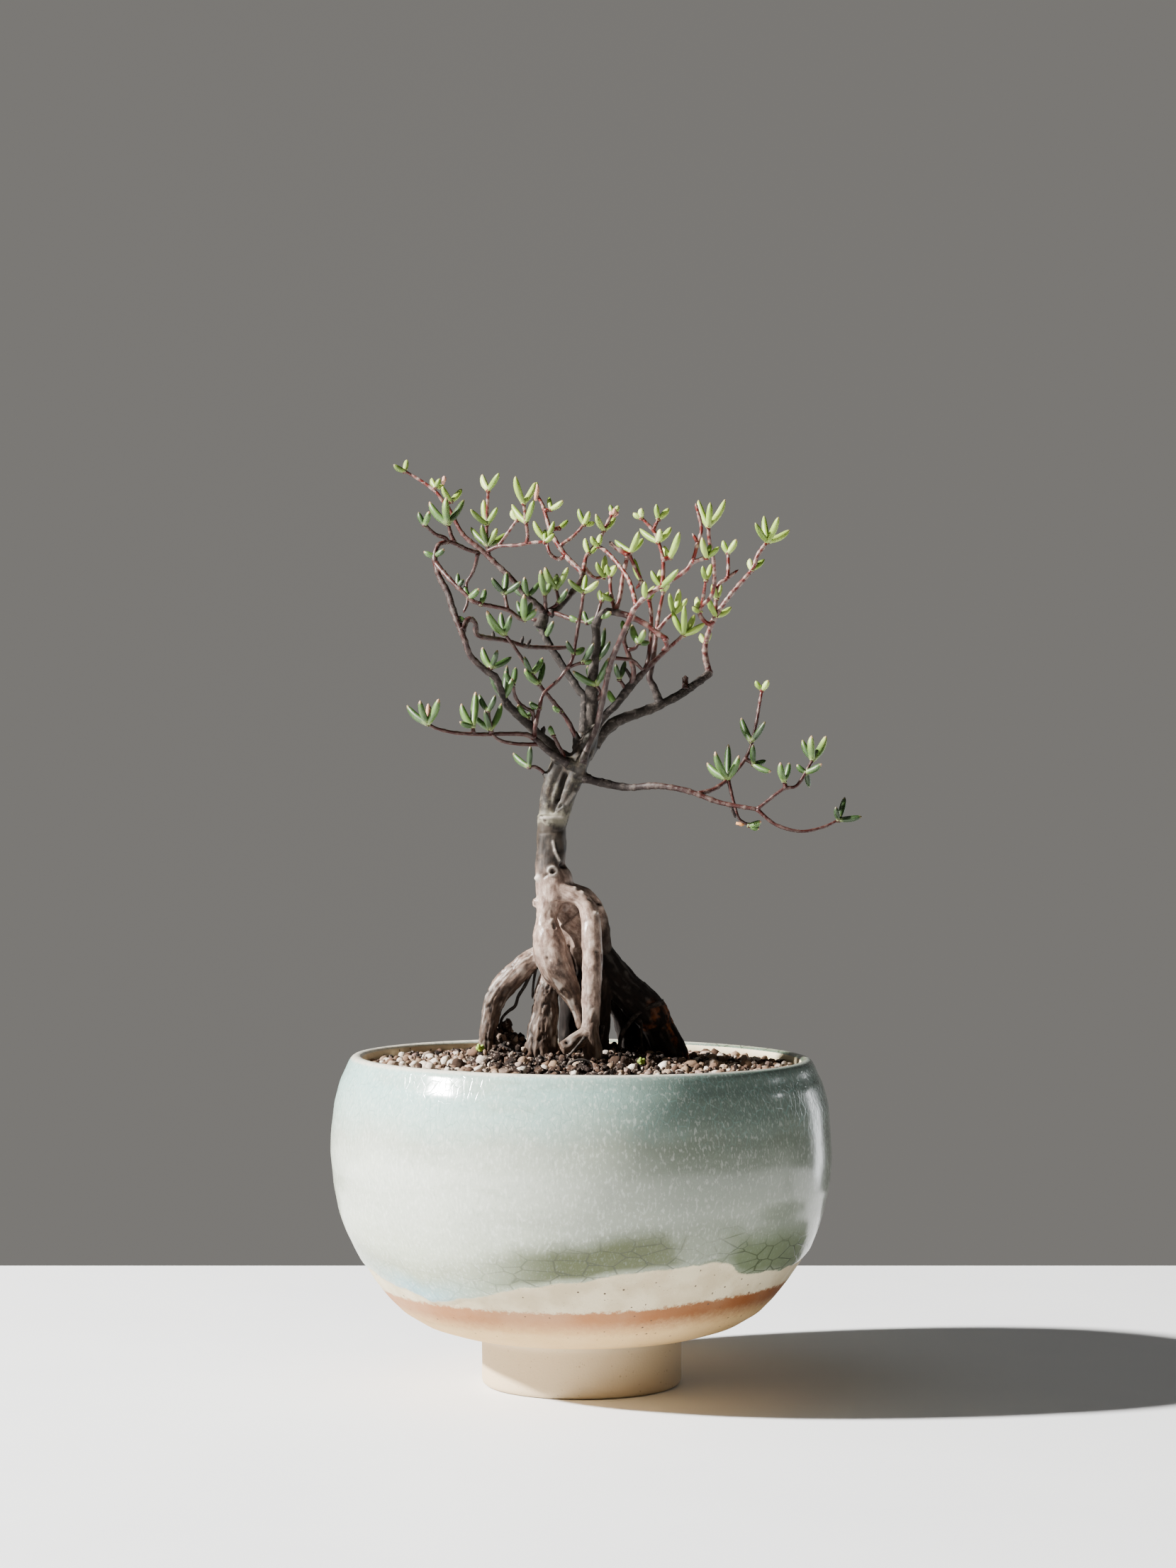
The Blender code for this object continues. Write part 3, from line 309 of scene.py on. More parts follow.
GLAZE_THICK, INNER_EDGE = 0.35, 84.0

# Waves of the glaze's edge: height in mm, length as a share of the pot's radius, and a seed
GLAZE_WAVES = ((0.55, 0.09, 5), (0.25, 0.035, 8))


def glaze_edge(angle):
    """Height of the glaze's lower edge at an angle in degrees from the front, with small waves."""
    turn = np.radians(angle)
    circle = np.stack([np.cos(turn), np.sin(turn), np.zeros_like(turn)], -1)
    edge = np.interp(angle, *np.array(GLAZE_LINE).T)
    return edge + sum(high * noise(circle, length, seed) for high, length, seed in GLAZE_WAVES)


def settled(points):
    """Puts a turned shape on the pot's axis and lets it lean: height falls with x and height squared."""
    points = points.copy()
    points[..., 2] -= RIM_LEAN * points[..., 0] * (points[..., 2] / (RIM_HEIGHT * MM)) ** 2
    points[..., 0] += POT_X * MM
    return points


print("glaze edge at the drip:", round(float(glaze_edge(np.array([-44.0]))[0]), 1), "mm up")

# %% [markdown]
# A finish is a small network of nodes. This helper keeps such a network readable: each of its
# methods adds a node or two and hands back the socket to read, sizes are in millimetres on the
# object, and colours are written the way a paint chart gives them.

# %% A helper for finishes


def paint(code):
    """The shader's colour for a chart code such as D9CDB6: each part goes from sRGB to linear light."""
    parts = np.array([int(code[k:k + 2], 16) for k in (0, 2, 4)]) / 255
    return (*np.where(parts <= 0.04045, parts / 12.92, ((parts + 0.055) / 1.055) ** 2.4), 1.0)


class Finish:
    """A material under construction on one Principled shader."""

    def __init__(self, name, **constants):
        """Makes the material, sets its constants, and keeps where each point lies."""
        self.material = bpy.data.materials.new(name)
        self.material.use_nodes = True
        self.tree = self.material.node_tree
        self.shader = self.tree.nodes["Principled BSDF"]
        self.wear(**constants)
        self.place = self.add("TexCoord", out="Object")

    def give(self, socket, value):
        """Links a socket to another one, or sets its number, vector or colour."""
        if isinstance(value, bpy.types.NodeSocket):
            self.tree.links.new(value, socket)
        else:
            socket.default_value = paint(value) if isinstance(value, str) else value

    def wear(self, **sockets):
        """Gives the shader's sockets their values: base_color stands for Base Color, and so on."""
        for name, value in sockets.items():
            title = " ".join(word.upper() if word == "ior" else word.capitalize() for word in name.split("_"))
            self.give(self.shader.inputs[title], value)

    def add(self, kind, inputs=(), out=0, **settings):
        """One node: settings are its own properties, and inputs go to its sockets by name or number."""
        made = self.tree.nodes.new("ShaderNode" + kind)
        for name, value in settings.items():
            setattr(made, name, value)
        for socket, value in dict(inputs).items():
            self.give(made.inputs[socket], value)
        return made.outputs[out]

    def fact(self, name, out="Fac"):
        """An attribute of the mesh's points: a number, or with out="Vector" a place."""
        return self.add("Attribute", out=out, attribute_name=name)

    def axis(self, name, grow=1000.0):
        """How far along the object's X, Y or Z a point is: in millimetres, unless grow says otherwise."""
        return self.times(self.add("SeparateXYZ", {0: self.place}, out=name), grow)

    def cloud(self, size, at=None, detail=3.0, rough=0.55):
        """Noise from 0 to 1 with features of one size in millimetres."""
        sockets = {"Vector": at or self.place, "Scale": 1000 / size, "Detail": detail, "Roughness": rough}
        return self.add("TexNoise", sockets)

    def cells(self, size, at=None, feature="F1", out="Distance"):
        """Voronoi cells of one size in millimetres."""
        sockets = {"Vector": at or self.place, "Scale": 1000 / size}
        return self.add("TexVoronoi", sockets, feature=feature, out=out)

    def stretched(self, *scale):
        """Object coordinates multiplied along X, Y and Z, which stretches what is read there."""
        return self.add("Mapping", {"Vector": self.place, "Scale": scale})

    def span(self, value, low, high, start=0.0, end=1.0):
        """start below low, end above high, and a smooth passage between."""
        sockets = {"Value": value, "From Min": low, "From Max": high, "To Min": start, "To Max": end}
        return self.add("MapRange", sockets, interpolation_type="SMOOTHSTEP")

    def maths(self, operation, a, b):
        """One of Blender's operations on two numbers."""
        return self.add("Math", {0: a, 1: b}, operation=operation)

    def times(self, first, *others):
        """The product of numbers."""
        for other in others:
            first = self.maths("MULTIPLY", first, other)
        return first

    def plus(self, a, b):
        """The sum of two numbers."""
        return self.maths("ADD", a, b)

    def less(self, a, b):
        """The first number less the second."""
        return self.maths("SUBTRACT", a, b)

    def most(self, a, b):
        """The larger of two numbers."""
        return self.maths("MAXIMUM", a, b)

    def sway(self, share, reach):
        """A share from 0 to 1 as a shift to either side: (share - 0.5) * reach."""
        return self.times(self.less(share, 0.5), reach)

    def mix(self, a, b, *shares):
        """Two colours in one: the second is laid on the first as thickly as its shares multiply to."""
        return self.add("Mix", {0: self.times(*shares), 6: a, 7: b}, out=2, data_type="RGBA")

    def ramp(self, value, *stops):
        """A colour for each share from 0 to 1: stops are (share, chart code)."""
        made = self.tree.nodes.new("ShaderNodeValToRGB")
        self.give(made.inputs[0], value)
        for k, (share, code) in enumerate(stops):
            stop = made.color_ramp.elements[k] if k < 2 else made.color_ramp.elements.new(share)
            stop.position, stop.color = share, paint(code)
        return made.outputs[0]

    def relief(self, height, depth, below=None):
        """A bump of so many millimetres over another one; the two of them are felt as one surface."""
        sockets = {"Height": height, "Distance": depth * MM, "Strength": 1.0}
        if below:
            sockets["Normal"] = below
        return self.add("Bump", sockets)


print("buff clay is", [round(v, 2) for v in paint("D9CDB6")[:3]], "in linear light")

# %% [markdown]
# Stoneware is a warm, buff clay with iron specks that fire to dark dots. Where the glaze stops short
# of the foot, the flame toasts the bare clay to a rusty band. The glaze is milky: palest on the
# belly, minty where it ran thin and thick again under the lip, and olive with wide crackle where it
# pooled above its edge. One material holds both, and the attribute called rise, the height above the
# glaze's edge, tells them apart.

# %% Where each colour of the pot lies
PALE_BREAK = ((21, 29), (41, 33))


def find_places(look):
    """Keeps on the finish what the pot's colours follow, in mm.

    height and across are places, level is the height with slow waves, mottle is a fine upright
    grain, and rise is the height above the glaze's edge, roughened by the mottle.
    """
    look.height, look.across = look.axis("Z"), look.axis("X")
    look.level = look.plus(look.height, look.sway(look.cloud(16, detail=4), 11.0))
    look.mottle = look.cloud(0.72, at=look.stretched(1, 1, 0.5), detail=2, rough=0.6)
    look.rise = look.plus(look.fact("rise"), look.sway(look.mottle, 0.9))


def find_pools(look):
    """Keeps on the finish where glaze pooled: above its edge, to the right, but for a pale break."""
    wavering = look.plus(look.across, look.times(look.cloud(6, detail=3), 9.0))
    pale_break = look.times(*(look.span(wavering, low, high) for low, high in PALE_BREAK))
    from_left = look.span(look.across, -34, -6, 0.3, 1.0)
    look.rightward = look.times(from_left, look.span(pale_break, 0, 1, 1, 0.3))
    uneven = look.plus(look.rise, look.times(look.cloud(9, detail=3), 3.0))
    above_edge = look.span(look.rise, 0.5, 2.0, 0.4, 1.0)
    look.pooled = look.times(look.span(uneven, 14.0, 8.0), above_edge, look.rightward)


print("the pools are palest from", PALE_BREAK[0][1], "to", PALE_BREAK[1][1], "mm right of the middle")

# %% Colours of the glaze and of the clay
TOAST_TOP = 23.9


def glaze_colour(look):
    """Milky by height, darkened by painted shade to the right, olive in the pools, and mottled all over."""
    share = look.span(look.level, 22, 90)
    share.node.interpolation_type = "LINEAR"
    glaze = look.ramp(share, (0.0, "98B2AF"), (0.09, "A3AD90"), (0.2, "AEB59E"), (0.38, "B3B9AA"),
                      (0.56, "B8BEB1"), (0.66, "A8AFA2"), (0.76, "A2BAB1"), (0.86, "98BBB5"), (1.0, "A3C2BB"))
    streaks = look.cloud(13, at=look.stretched(0.3, 0.3, 1.5), detail=4)
    glaze = look.mix(glaze, "939A88", look.span(streaks, 0.5, 0.72, 0, 0.55))
    # Painted shade: the glaze darkens towards the right, and most on the upper right.
    glaze = look.mix(glaze, "69725F", look.span(look.across, -40, 34, 0, 0.64))
    glaze = look.mix(glaze, "3C4340", look.span(look.across, -6, 30, 0, 0.66),
                     look.span(look.level, 40, 76, 0.3, 1))
    olive = look.mix("404817", "505C3A", look.span(look.across, 18, 36))
    glaze = look.mix(glaze, olive, look.pooled, look.span(look.across, 10, 34, 0.98, 0.7))
    glaze = look.mix(glaze, "7CA9B3", look.fact("drip"), 0.9)
    # The pale specks are halved towards the right, where the shade is painted.
    glaze = look.mix(glaze, "DDE2D8", look.span(look.mottle, 0.5, 0.72, 0, 0.36),
                     look.span(look.pooled, 0.1, 0.8, 1, 0.15), look.span(look.across, 0, 36, 1, 0.5))
    glaze = look.mix(glaze, "828F80", look.span(look.mottle, 0.45, 0.28, 0, 0.3))
    rim = look.span(look.height, 83.9, 84.9)
    return look.mix(glaze, "D9D3C2", rim, look.span(look.cloud(5), 0.2, 0.5, 0.4, 1))


def crackled(look, glaze):
    """The glaze with its cracks, wide in the pools and a fine net under the lip, and their depth."""
    wide = look.cells(3.8, at=look.stretched(0.55, 0.55, 1.25), feature="DISTANCE_TO_EDGE")
    fine = look.cells(2.0, at=look.stretched(1, 1, 0.6), feature="DISTANCE_TO_EDGE")
    crackle = look.times(look.span(wide, 0.055, 0.0), look.times(look.span(look.rise, 12, 5), look.rightward))
    net = look.times(look.span(fine, 0.07, 0.0), look.span(look.level, 62, 74))
    glaze = look.mix(glaze, "252B12", crackle, 0.7)
    glaze = look.mix(glaze, "6F8D86", net, look.span(look.cloud(7, detail=2), 0.35, 0.6, 0.1, 0.45))
    return glaze, look.most(crackle, look.times(net, 0.5))


def clay_colour(look):
    """Buff, with a rusty band below an uneven line, a paler foot, and iron specks in two sizes."""
    clay = look.mix("CDC0A0", "BAAA89", look.span(look.cloud(9, detail=5), 0.4, 0.65))
    uneven = look.plus(look.times(look.cloud(1.7, detail=6, rough=0.8), 4.2),
                       look.times(look.span(look.across, -5, 40), 2.2))
    from_top = look.less(look.less(look.height, TOAST_TOP), uneven)
    band = look.times(look.span(from_top, 0.5, -0.5), look.span(from_top, -8.0, -2.4))
    strength = look.plus(look.span(look.across, -20, 30, 0.8, 1.0),
                         look.span(look.cloud(24), 0.4, 0.7, -0.1, 0.0))
    clay = look.mix(clay, "CBA56B", look.span(from_top, -1.0, -6.0, 0, 0.8))
    clay = look.mix(clay, look.mix("965006", "743C00", look.span(look.across, -8, 30)), band, strength)
    clay = look.mix(clay, "C0AD8E", look.span(look.height, 14.2, 12.6, 0, 0.9))
    iron = look.times(look.span(look.cells(2.1), 0.17, 0.1), look.span(look.cloud(2.4, detail=1), 0.53, 0.58),
                      look.span(look.height, 13, 17, 0.35, 1))
    flecks = look.times(look.span(look.cells(0.85), 0.2, 0.1),
                        look.span(look.cloud(3.1, detail=1), 0.52, 0.6), 0.5)
    return look.mix(clay, "4A382B", look.most(iron, flecks))


print("the rusty band on the clay starts about", TOAST_TOP, "mm up")

# %% Finish of the pot


def stoneware():
    """Clay below the glaze line and glaze above it, mixed by the attribute rise."""
    look = Finish("glazed_stoneware", specular_ior_level=0.5)
    find_places(look)
    find_pools(look)
    glaze, crackle = crackled(look, glaze_colour(look))
    glazed = look.span(look.rise, -0.25, 0.35)
    grit = look.relief(look.cloud(0.5, detail=3), 0.07)
    skin = look.relief(look.span(crackle, 0, 1, 1, 0), 0.03, look.relief(look.cloud(3.6, detail=2), 0.06))
    look.wear(base_color=look.mix(clay_colour(look), glaze, glazed),
              roughness=look.plus(look.span(glazed, 0, 1, 0.78, 0.13), look.times(look.mottle, 0.1)),
              normal=look.add("Mix", {0: glazed, 4: grit, 5: skin}, out=1, data_type="VECTOR"))
    return look.material


pot_finish = stoneware()
print("the pot's finish has", len(pot_finish.node_tree.nodes), "nodes")

# %% [markdown]
# The turned pot itself. The profile is read every three quarters of a millimetre, so that the
# rounded lip, the undercut above the foot and the sharp end of the glaze all show. Fingers leave low
# rings on the clay, and the whole wall is a trace out of round.

# %% The pot
PROFILE_STEP, PROFILE_ROUNDS = 0.75, 2
WALL_RADIUS, WALL_INSET = 65, 0.45
THROWING_RINGS, RING_PITCH, OUT_OF_ROUND = 0.10, 2.9, 0.18
DRIP_AT, DRIP_WIDTH = -47, 15


def closed_round(grid, **facts):
    """Points, quads and facts of a ring-shaped skin: both ways round its grid close on themselves."""
    rings, sides = grid.shape[:2]
    ring, side = np.meshgrid(np.arange(rings), np.arange(sides), indexing="ij")
    here, there = ring * sides + side, ring * sides + (side + 1) % sides
    up = (ring + 1) % rings * sides
    quads = np.stack([here, there, up + (side + 1) % sides, up + side], -1).reshape(-1, 4)
    return grid.reshape(-1, 3), quads, np.empty((0, 3), int), {name: v.ravel() for name, v in facts.items()}


def even_profile(points, step):
    """A closed line of (radius, height), read at even steps along it."""
    line = np.array((*points, points[0]), float)
    run = run_along(line)
    return read_at(np.linspace(0, run[-1], int(run[-1] / step), endpoint=False), run, line)


def rounded(line, passes):
    """Each point of a closed line moved to the mean of its neighbours and itself, several times."""
    for _ in range(passes):
        line = (np.roll(line, 1, 0) + 2 * line + np.roll(line, -1, 0)) / 4
    return line


def make_pot_body():
    """The profile carried round: radius + out-of-round + throwing rings + the glaze's thickness.

    The wall is set in a little first, so that the finished pot keeps the size of the CAD pot. The
    facts are rise, the height above the glaze's edge, and drip, which is 1 on the one drip.
    """
    profile = rounded(even_profile(POT_PROFILE, PROFILE_STEP), PROFILE_ROUNDS)
    turn = np.linspace(-math.pi, math.pi, TURN_SIDES, endpoint=False)[None]
    angle = np.degrees(turn)
    radius, height = profile[:, :1], profile[:, 1:]
    wall = np.stack(np.broadcast_arrays(np.sin(turn) * WALL_RADIUS, -np.cos(turn) * WALL_RADIUS, height), -1)
    outer = (np.arange(len(profile)) < np.argmax(profile[:, 1]))[:, None]
    rise = np.where(outer, height - glaze_edge(angle), (height - INNER_EDGE) * 4)
    turning = THROWING_RINGS * np.sin(height / RING_PITCH + 0.5 * turn)
    turning = turning + OUT_OF_ROUND * rough(wall, 22, 3, 31)
    weight = smoothstep(14, 22, height) * smoothstep(85.4, 80, height)
    skin = GLAZE_THICK * smoothstep(-0.35, 0.5, rise) * (0.75 + 0.5 * smoothstep(6, 0, rise))
    radius = radius + np.where(outer, (turning - WALL_INSET) * weight + skin, 0)
    x, y = radius * np.sin(turn), -radius * np.cos(turn)
    grid = settled(np.stack([x, y, np.broadcast_to(height, x.shape)], -1) * MM)
    drip = np.exp(-((angle - DRIP_AT) / DRIP_WIDTH) ** 2) * smoothstep(7.5, 1.0, rise) * outer
    piece("pot_body", closed_round(grid, rise=rise, drip=drip), pot_finish, "glazed_stoneware", "pot")


make_pot_body()

# %% [markdown]
# The soil is a gritty mix: dark peat and bark crumbs round the roots, and pale pumice towards the
# rim. The bed below is a lumpy solid that fills the pot. The grains that catch the light are pieces
# of their own, a few faces each, because on the real thing each one casts a shadow.

# %% The soil bed
SOIL_LEVEL, LUMPS_FADE = 81.8, (57, 53)
SOIL_MOUNDS = ((1.0, 3.0, 4.4, 17.0), (-21.2, 0.5, 8.6, 4.4))
BED_EDGE, BED_FLOOR = 56.0, 19.4

# The bed's side: share of its way up, radius, height
BED_SIDE = ((0, 30, BED_FLOOR), (0.3, 52, 33), (0.75, 59, 62), (1, BED_EDGE, SOIL_LEVEL))
SIDE_RINGS, TOP_RINGS, BED_SIDES = 12, 96, 300


def soil_height(x, y):
    """The level, with a bell-shaped mound under the roots and a small one by the left root."""
    height = np.full(np.broadcast(x, y).shape, SOIL_LEVEL)
    for centre_x, centre_y, rise, spread in SOIL_MOUNDS:
        height = height + rise * np.exp(-((x - centre_x) ** 2 + (y - centre_y) ** 2) / (2 * spread**2))
    return height


def lumps(x, y):
    """Crumbs of the bed's surface: two layers of noise, lower towards the wall of the pot."""
    at = np.stack(np.broadcast_arrays(x, y, 7.0), -1)
    inner = smoothstep(*LUMPS_FADE, np.hypot(x, y))
    return (0.7 * noise(at, 1.9, 41) + 0.45 * noise(at, 0.9, 42)) * inner - 0.5


def soil_look():
    """Moist dark crumbs with tan fibres, and paler grit away from the trunk."""
    look = Finish("gravelly_soil", roughness=0.92)
    tone = look.add("SeparateColor", {0: look.cells(1.3, out="Color")}, out="Red")
    dark = look.ramp(tone, (0.0, "130C0A"), (0.45, "221814"), (0.8, "352923"), (1.0, "6A5A4B"))
    pale = look.ramp(tone, (0.0, "352A23"), (0.4, "5E4F42"), (0.8, "857360"), (1.0, "AD9C86"))
    colour = look.mix(dark, pale, look.fact("pale"))
    look.wear(base_color=look.mix(colour, "1D1512", look.span(look.cloud(0.7), 0.45, 0.3, 0, 0.7)),
              normal=look.relief(look.cloud(0.45, detail=4), 0.12, look.relief(look.cells(1.3), 0.35)))
    return look.material


def make_soil_bed():
    """A solid of revolution from the floor's middle to the top's middle, its top raised to the mounds."""
    share, radius, height = np.array(BED_SIDE).T
    up = np.linspace(0, 1, SIDE_RINGS + 2)[1:-1]
    wall = np.stack([np.interp(up, share, radius), np.interp(up, share, height)], -1)
    top = np.stack([np.linspace(BED_EDGE, 0.4, TOP_RINGS), np.full(TOP_RINGS, SOIL_LEVEL)], -1)
    line = np.concatenate([[[0.5, BED_FLOOR + 1.2], [29.0, BED_FLOOR]], wall, top])
    turn = np.linspace(-math.pi, math.pi, BED_SIDES, endpoint=False)[None]
    x, y = line[:, :1] * np.sin(turn), -line[:, :1] * np.cos(turn)
    is_top = (np.arange(len(line)) >= len(line) - TOP_RINGS)[:, None]
    points = np.stack([x, y, np.where(is_top, soil_height(x, y) + lumps(x, y), line[:, 1:])], -1)
    pale = smoothstep(24, 42, np.hypot(x - 2, 0.5 * y)) + 0.3 * noise(points, 7, 44)
    skin = closed_tubes(settled(points * MM)[None], pale=np.clip(pale, 0, 1)[None])
    piece("soil_bed", skin, soil_look(), "gravelly_soil", "soil")


make_soil_bed()

# %% [markdown]
# The woody base grew below ground and now stands free: a short trunk on roots that swell, part and
# meet again. Each root is a swelling tube. Melted together by a remesh they become one skin, with
# webs where they touch, much as the real wood has grown together. Two of the tubes, the cleft and
# the web, are low fillers in gaps that the real wood has closed. The bark then goes on as a
# displacement that knows which root it is on, and how far along and around it.

# %% The trunk and the roots: points (x, z, depth, radius)
CAUDEX = {
    "trunk": ((-6.6, 125, 0, 4.9), (-7.15, 130, 0, 4.75), (-8.1, 134, 0, 4.1),
              (-7.8, 139, 0, 3.85), (-7.8, 147, 0, 3.6)),
    "left lobe": ((-8.2, 144, 0.5, 2.8), (-8.45, 150, 1, 2.4), (-8.2, 154, 1, 2.1),
                  (-5.7, 160, 1, 2.5), (-3.6, 163.5, 1, 2.4)),
    "right lobe": ((-7.0, 144, -0.5, 2.8), (-3.9, 151.5, -1, 2.3), (-2.1, 156, -1, 2.3),
                   (-0.9, 160, -1, 2.6), (0.6, 164, 0, 2.9)),
    "front root": ((-5, 127.5, -2, 3.0), (-2, 126.3, -3, 2.3), (0.8, 124.2, -4, 2.2),
                   (2.2, 120.5, -5, 2.6), (2.6, 115, -6, 2.7), (2.8, 108, -7, 2.6),
                   (2.6, 100, -7.5, 2.5), (2.4, 94, -8, 2.4), (2.2, 90.5, -8.5, 2.5),
                   (3, 84, -8.5, 2.4), (3, 76, -8.5, 1.8)),
    "front toe": ((2.2, 91, -8.5, 2.3), (0, 89.4, -9, 2.2), (-2.5, 87.9, -10, 2.0),
                  (-5.3, 86.5, -10.5, 1.8)),
    "right strand": ((-3.5, 127, 0, 3.0), (1, 126.3, 1, 2.0), (4, 122.5, 2, 2.0),
                     (5.3, 117, 3, 2.2), (5.6, 110, 3, 2.2), (5.8, 102, 3, 2.1),
                     (5.6, 94, 3, 2.0), (5.2, 86, 3, 2.0), (5.2, 76, 3, 1.5)),
    "middle root": ((-8.2, 125, -1, 3.4), (-9.1, 121, -2, 2.8), (-8.6, 116, -3, 3.9),
                    (-7.9, 112, -3.6, 4.5), (-6.6, 108, -4, 4.4), (-4.7, 104.5, -4.2, 3.6),
                    (-2.7, 101, -4.3, 2.7), (-1.1, 97, -4.5, 1.9), (0.5, 92, -5, 1.6)),
    "wedge": ((-5, 123.5, 2, 3.0), (-3.2, 119.5, 2.5, 2.3), (-1.8, 116.5, 3, 1.9),
              (-0.4, 113, 4, 1.5)),
    "back right root": ((-3, 121, 2, 4.0), (2.4, 115, 4, 3.4), (8, 106, 5, 4.3),
                        (14, 99.4, 6, 4.9), (17.5, 96.1, 7, 4.8), (19.6, 92, 8, 4.5),
                        (23.4, 84, 8, 4.6), (25, 75, 8, 3.2)),
    "back root": ((-1, 118, 6, 3.2), (3, 111, 8, 3.4), (8, 104, 10, 4.0), (12, 96, 12, 4.5),
                  (14, 88, 13, 4.5), (14.5, 76, 13, 3.2)),
    "left root": ((-7.5, 115, -1, 2.8), (-11, 111, -1, 2.6), (-14.5, 108.3, -1, 3.1),
                  (-18, 105.1, -1, 3.3), (-21, 101.8, -1, 3.1), (-22.9, 98.2, -1.5, 2.8),
                  (-23.7, 94.5, -2, 2.4), (-24.2, 91, -2.5, 2.2), (-24.6, 86, -2.5, 2.2),
                  (-24.8, 76, -2.5, 1.5)),
    "stump root": ((-7.6, 107.5, -2.5, 2.0), (-8.9, 103.4, -2, 2.7), (-9.3, 99.7, -2, 3.3),
                   (-9.6, 95, -2, 3.6), (-10.2, 90, -2, 4.1), (-10.5, 84, -2, 4.4), (-10.4, 76, -2, 3.0)),
    "cleft": ((-6.6, 145, 0.6, 2.8), (-6.2, 151, 0.5, 2.3), (-4.5, 157, 0.6, 2.2), (-2.2, 162, 0.6, 2.3)),
    "web": ((-5.0, 126, 1.6, 2.6), (-2.4, 122.5, 2.2, 2.7), (-1.2, 118, 2.6, 2.5), (-0.4, 113, 3.4, 1.9)),
    "shaded root": ((-3.6, 121, 5, 3.0), (-3.0, 114, 6, 3.7), (-2.2, 106, 6.8, 4.1),
                    (-1.6, 98, 7.2, 4.3), (-1.6, 90, 7.4, 4.5), (-1.6, 83, 7.4, 4.5), (-1.6, 76, 7.4, 3.2)),
    "left limb collar": ((-5.2, 160.5, 0.6, 2.2), (-6.8, 163.2, 0, 1.8), (-8.6, 165.7, 0, 1.5)),
    "centre limb collar": ((0.6, 163, 0, 2.9), (2.3, 167, 0, 2.1), (2.6, 171, -0.3, 1.6)),
    "knot limb collar": ((-0.6, 162, 2.5, 2.2), (0.3, 168.4, 4, 1.3)),
    "right limb collar": ((0.6, 162.5, 1.6, 2.4), (3, 165.6, 2, 1.8), (5.2, 168.0, 2.4, 1.6)),
    "inner limb collar": ((1.0, 165, -1.5, 1.9), (3.5, 169, -2.6, 1.2), (4.7, 170.8, -2.6, 0.9)),
    "front stem collar": ((-0.6, 158.5, -2.0, 1.9), (0.5, 161.8, -4.4, 1.1), (1.2, 163.8, -4.8, 0.8)),
    "low left collar": ((-3.0, 160.4, -2.0, 1.8), (-5.5, 161.8, -4.7, 1.0), (-7.3, 162.9, -5.2, 0.8)),
    "low right collar": ((-1.6, 156.9, -1, 2.2), (0.6, 156.8, -2, 1.4), (2.6, 156.6, -2.4, 1.1)),
    "shoot collar": ((-1.0, 164.6, 0, 1.8), (-1.4, 167.6, 0, 0.9), (-2.0, 168.6, 0, 0.75)),
    "trunk bud collar": ((-8.2, 156.6, 1, 1.6), (-9.9, 158.2, 0.6, 0.6)),
    "ring knot": ((-7.6, 132.7, -3.4, 1.4), (-7.4, 132.6, -4.3, 1.2)),
    "left knob": ((-11.0, 124.2, -1, 1.6), (-12.7, 124.3, -1, 1.0)),
    "right knob": ((3.2, 122.4, 0.5, 1.6), (5.2, 122.9, 0.5, 1.0)),
}

# How furrowed the bark of each is where it isn't the usual, how far painted shade darkens its back,
# from 0 to 1, and which of them stay pale and smooth down to the soil
USUAL_FURROWS = 0.28
FURROWS = {
    "stump root": 1.0, "left root": 0.8, "middle root": 0.5, "front root": 0.42, "right strand": 0.75,
    "back right root": 0.9, "back root": 0.9, "trunk": 0.12, "ring knot": 0.1, "wedge": 0.04, "web": 0.04,
}
SHADED_ROOTS = {
    "shaded root": 1.0, "back root": 1.0, "back right root": 1.0, "right strand": 0.85, "right knob": 0.7,
}
PALE_ROOTS = ("front root", "front toe")
ROOT_STEP, ROOT_SIDES, ROOT_VOXEL, ROOT_SOFTENING, GRAIN_LENGTH = 0.5, 22, 0.36, 3, 3.2

# Between these heights the bark turns from smooth to rugged, and between these depths painted shade begins
RUGGED_HEIGHTS, SHADE_DEPTHS = (119, 103), (-9, -1)


def root_samples(points):
    """A root's path read every half millimetre: centres, radii and the run along it, in metres."""
    x, z, depth, radius = np.array(points).T
    values, run = through(np.column_stack([placed(x, z, depth), radius * MM]), ROOT_STEP * MM)
    return values[:, :3], values[:, 3], run


root_paths, radii, runs = zip(*(root_samples(points) for points in CAUDEX.values()))
root_centres, root_radii, root_runs = (np.concatenate(rows) for rows in (root_paths, radii, runs))
root_frames = np.concatenate([np.stack(frame_along(path), 1) for path in root_paths])
root_number = np.repeat(np.arange(len(runs)), [len(run) for run in runs])
root_furrows = np.array([FURROWS.get(name, USUAL_FURROWS) for name in CAUDEX])
root_shaded = np.array([SHADED_ROOTS.get(name, 0.0) for name in CAUDEX])
root_pale = np.array([float(name in PALE_ROOTS) for name in CAUDEX])
print(len(CAUDEX), "roots and collars,", len(root_centres), "rings")

# %% Melting them together
BATCH = 4000  # points in one table of distances


def melted(name, mesh, voxel, softening):
    """A mesh of overlapping closed tubes as one skin: a voxel remesh, then rounds of smoothing."""
    obj = bpy.data.objects.new(name, mesh)
    bpy.context.scene.collection.objects.link(obj)
    remesh = obj.modifiers.new("melt", "REMESH")
    remesh.mode, remesh.voxel_size = "VOXEL", voxel * MM
    smooth = obj.modifiers.new("soften", "SMOOTH")
    smooth.factor, smooth.iterations = 0.6, softening
    bpy.context.view_layer.update()
    skin = bpy.data.meshes.new_from_object(obj.evaluated_get(bpy.context.evaluated_depsgraph_get()))
    bpy.data.objects.remove(obj, do_unlink=True)
    return skin


def read(rows, key):
    """A mesh's vectors as an array with one row a point."""
    values = np.empty(len(rows) * 3, np.float32)
    rows.foreach_get(key, values)
    return values.reshape(-1, 3).astype(float)


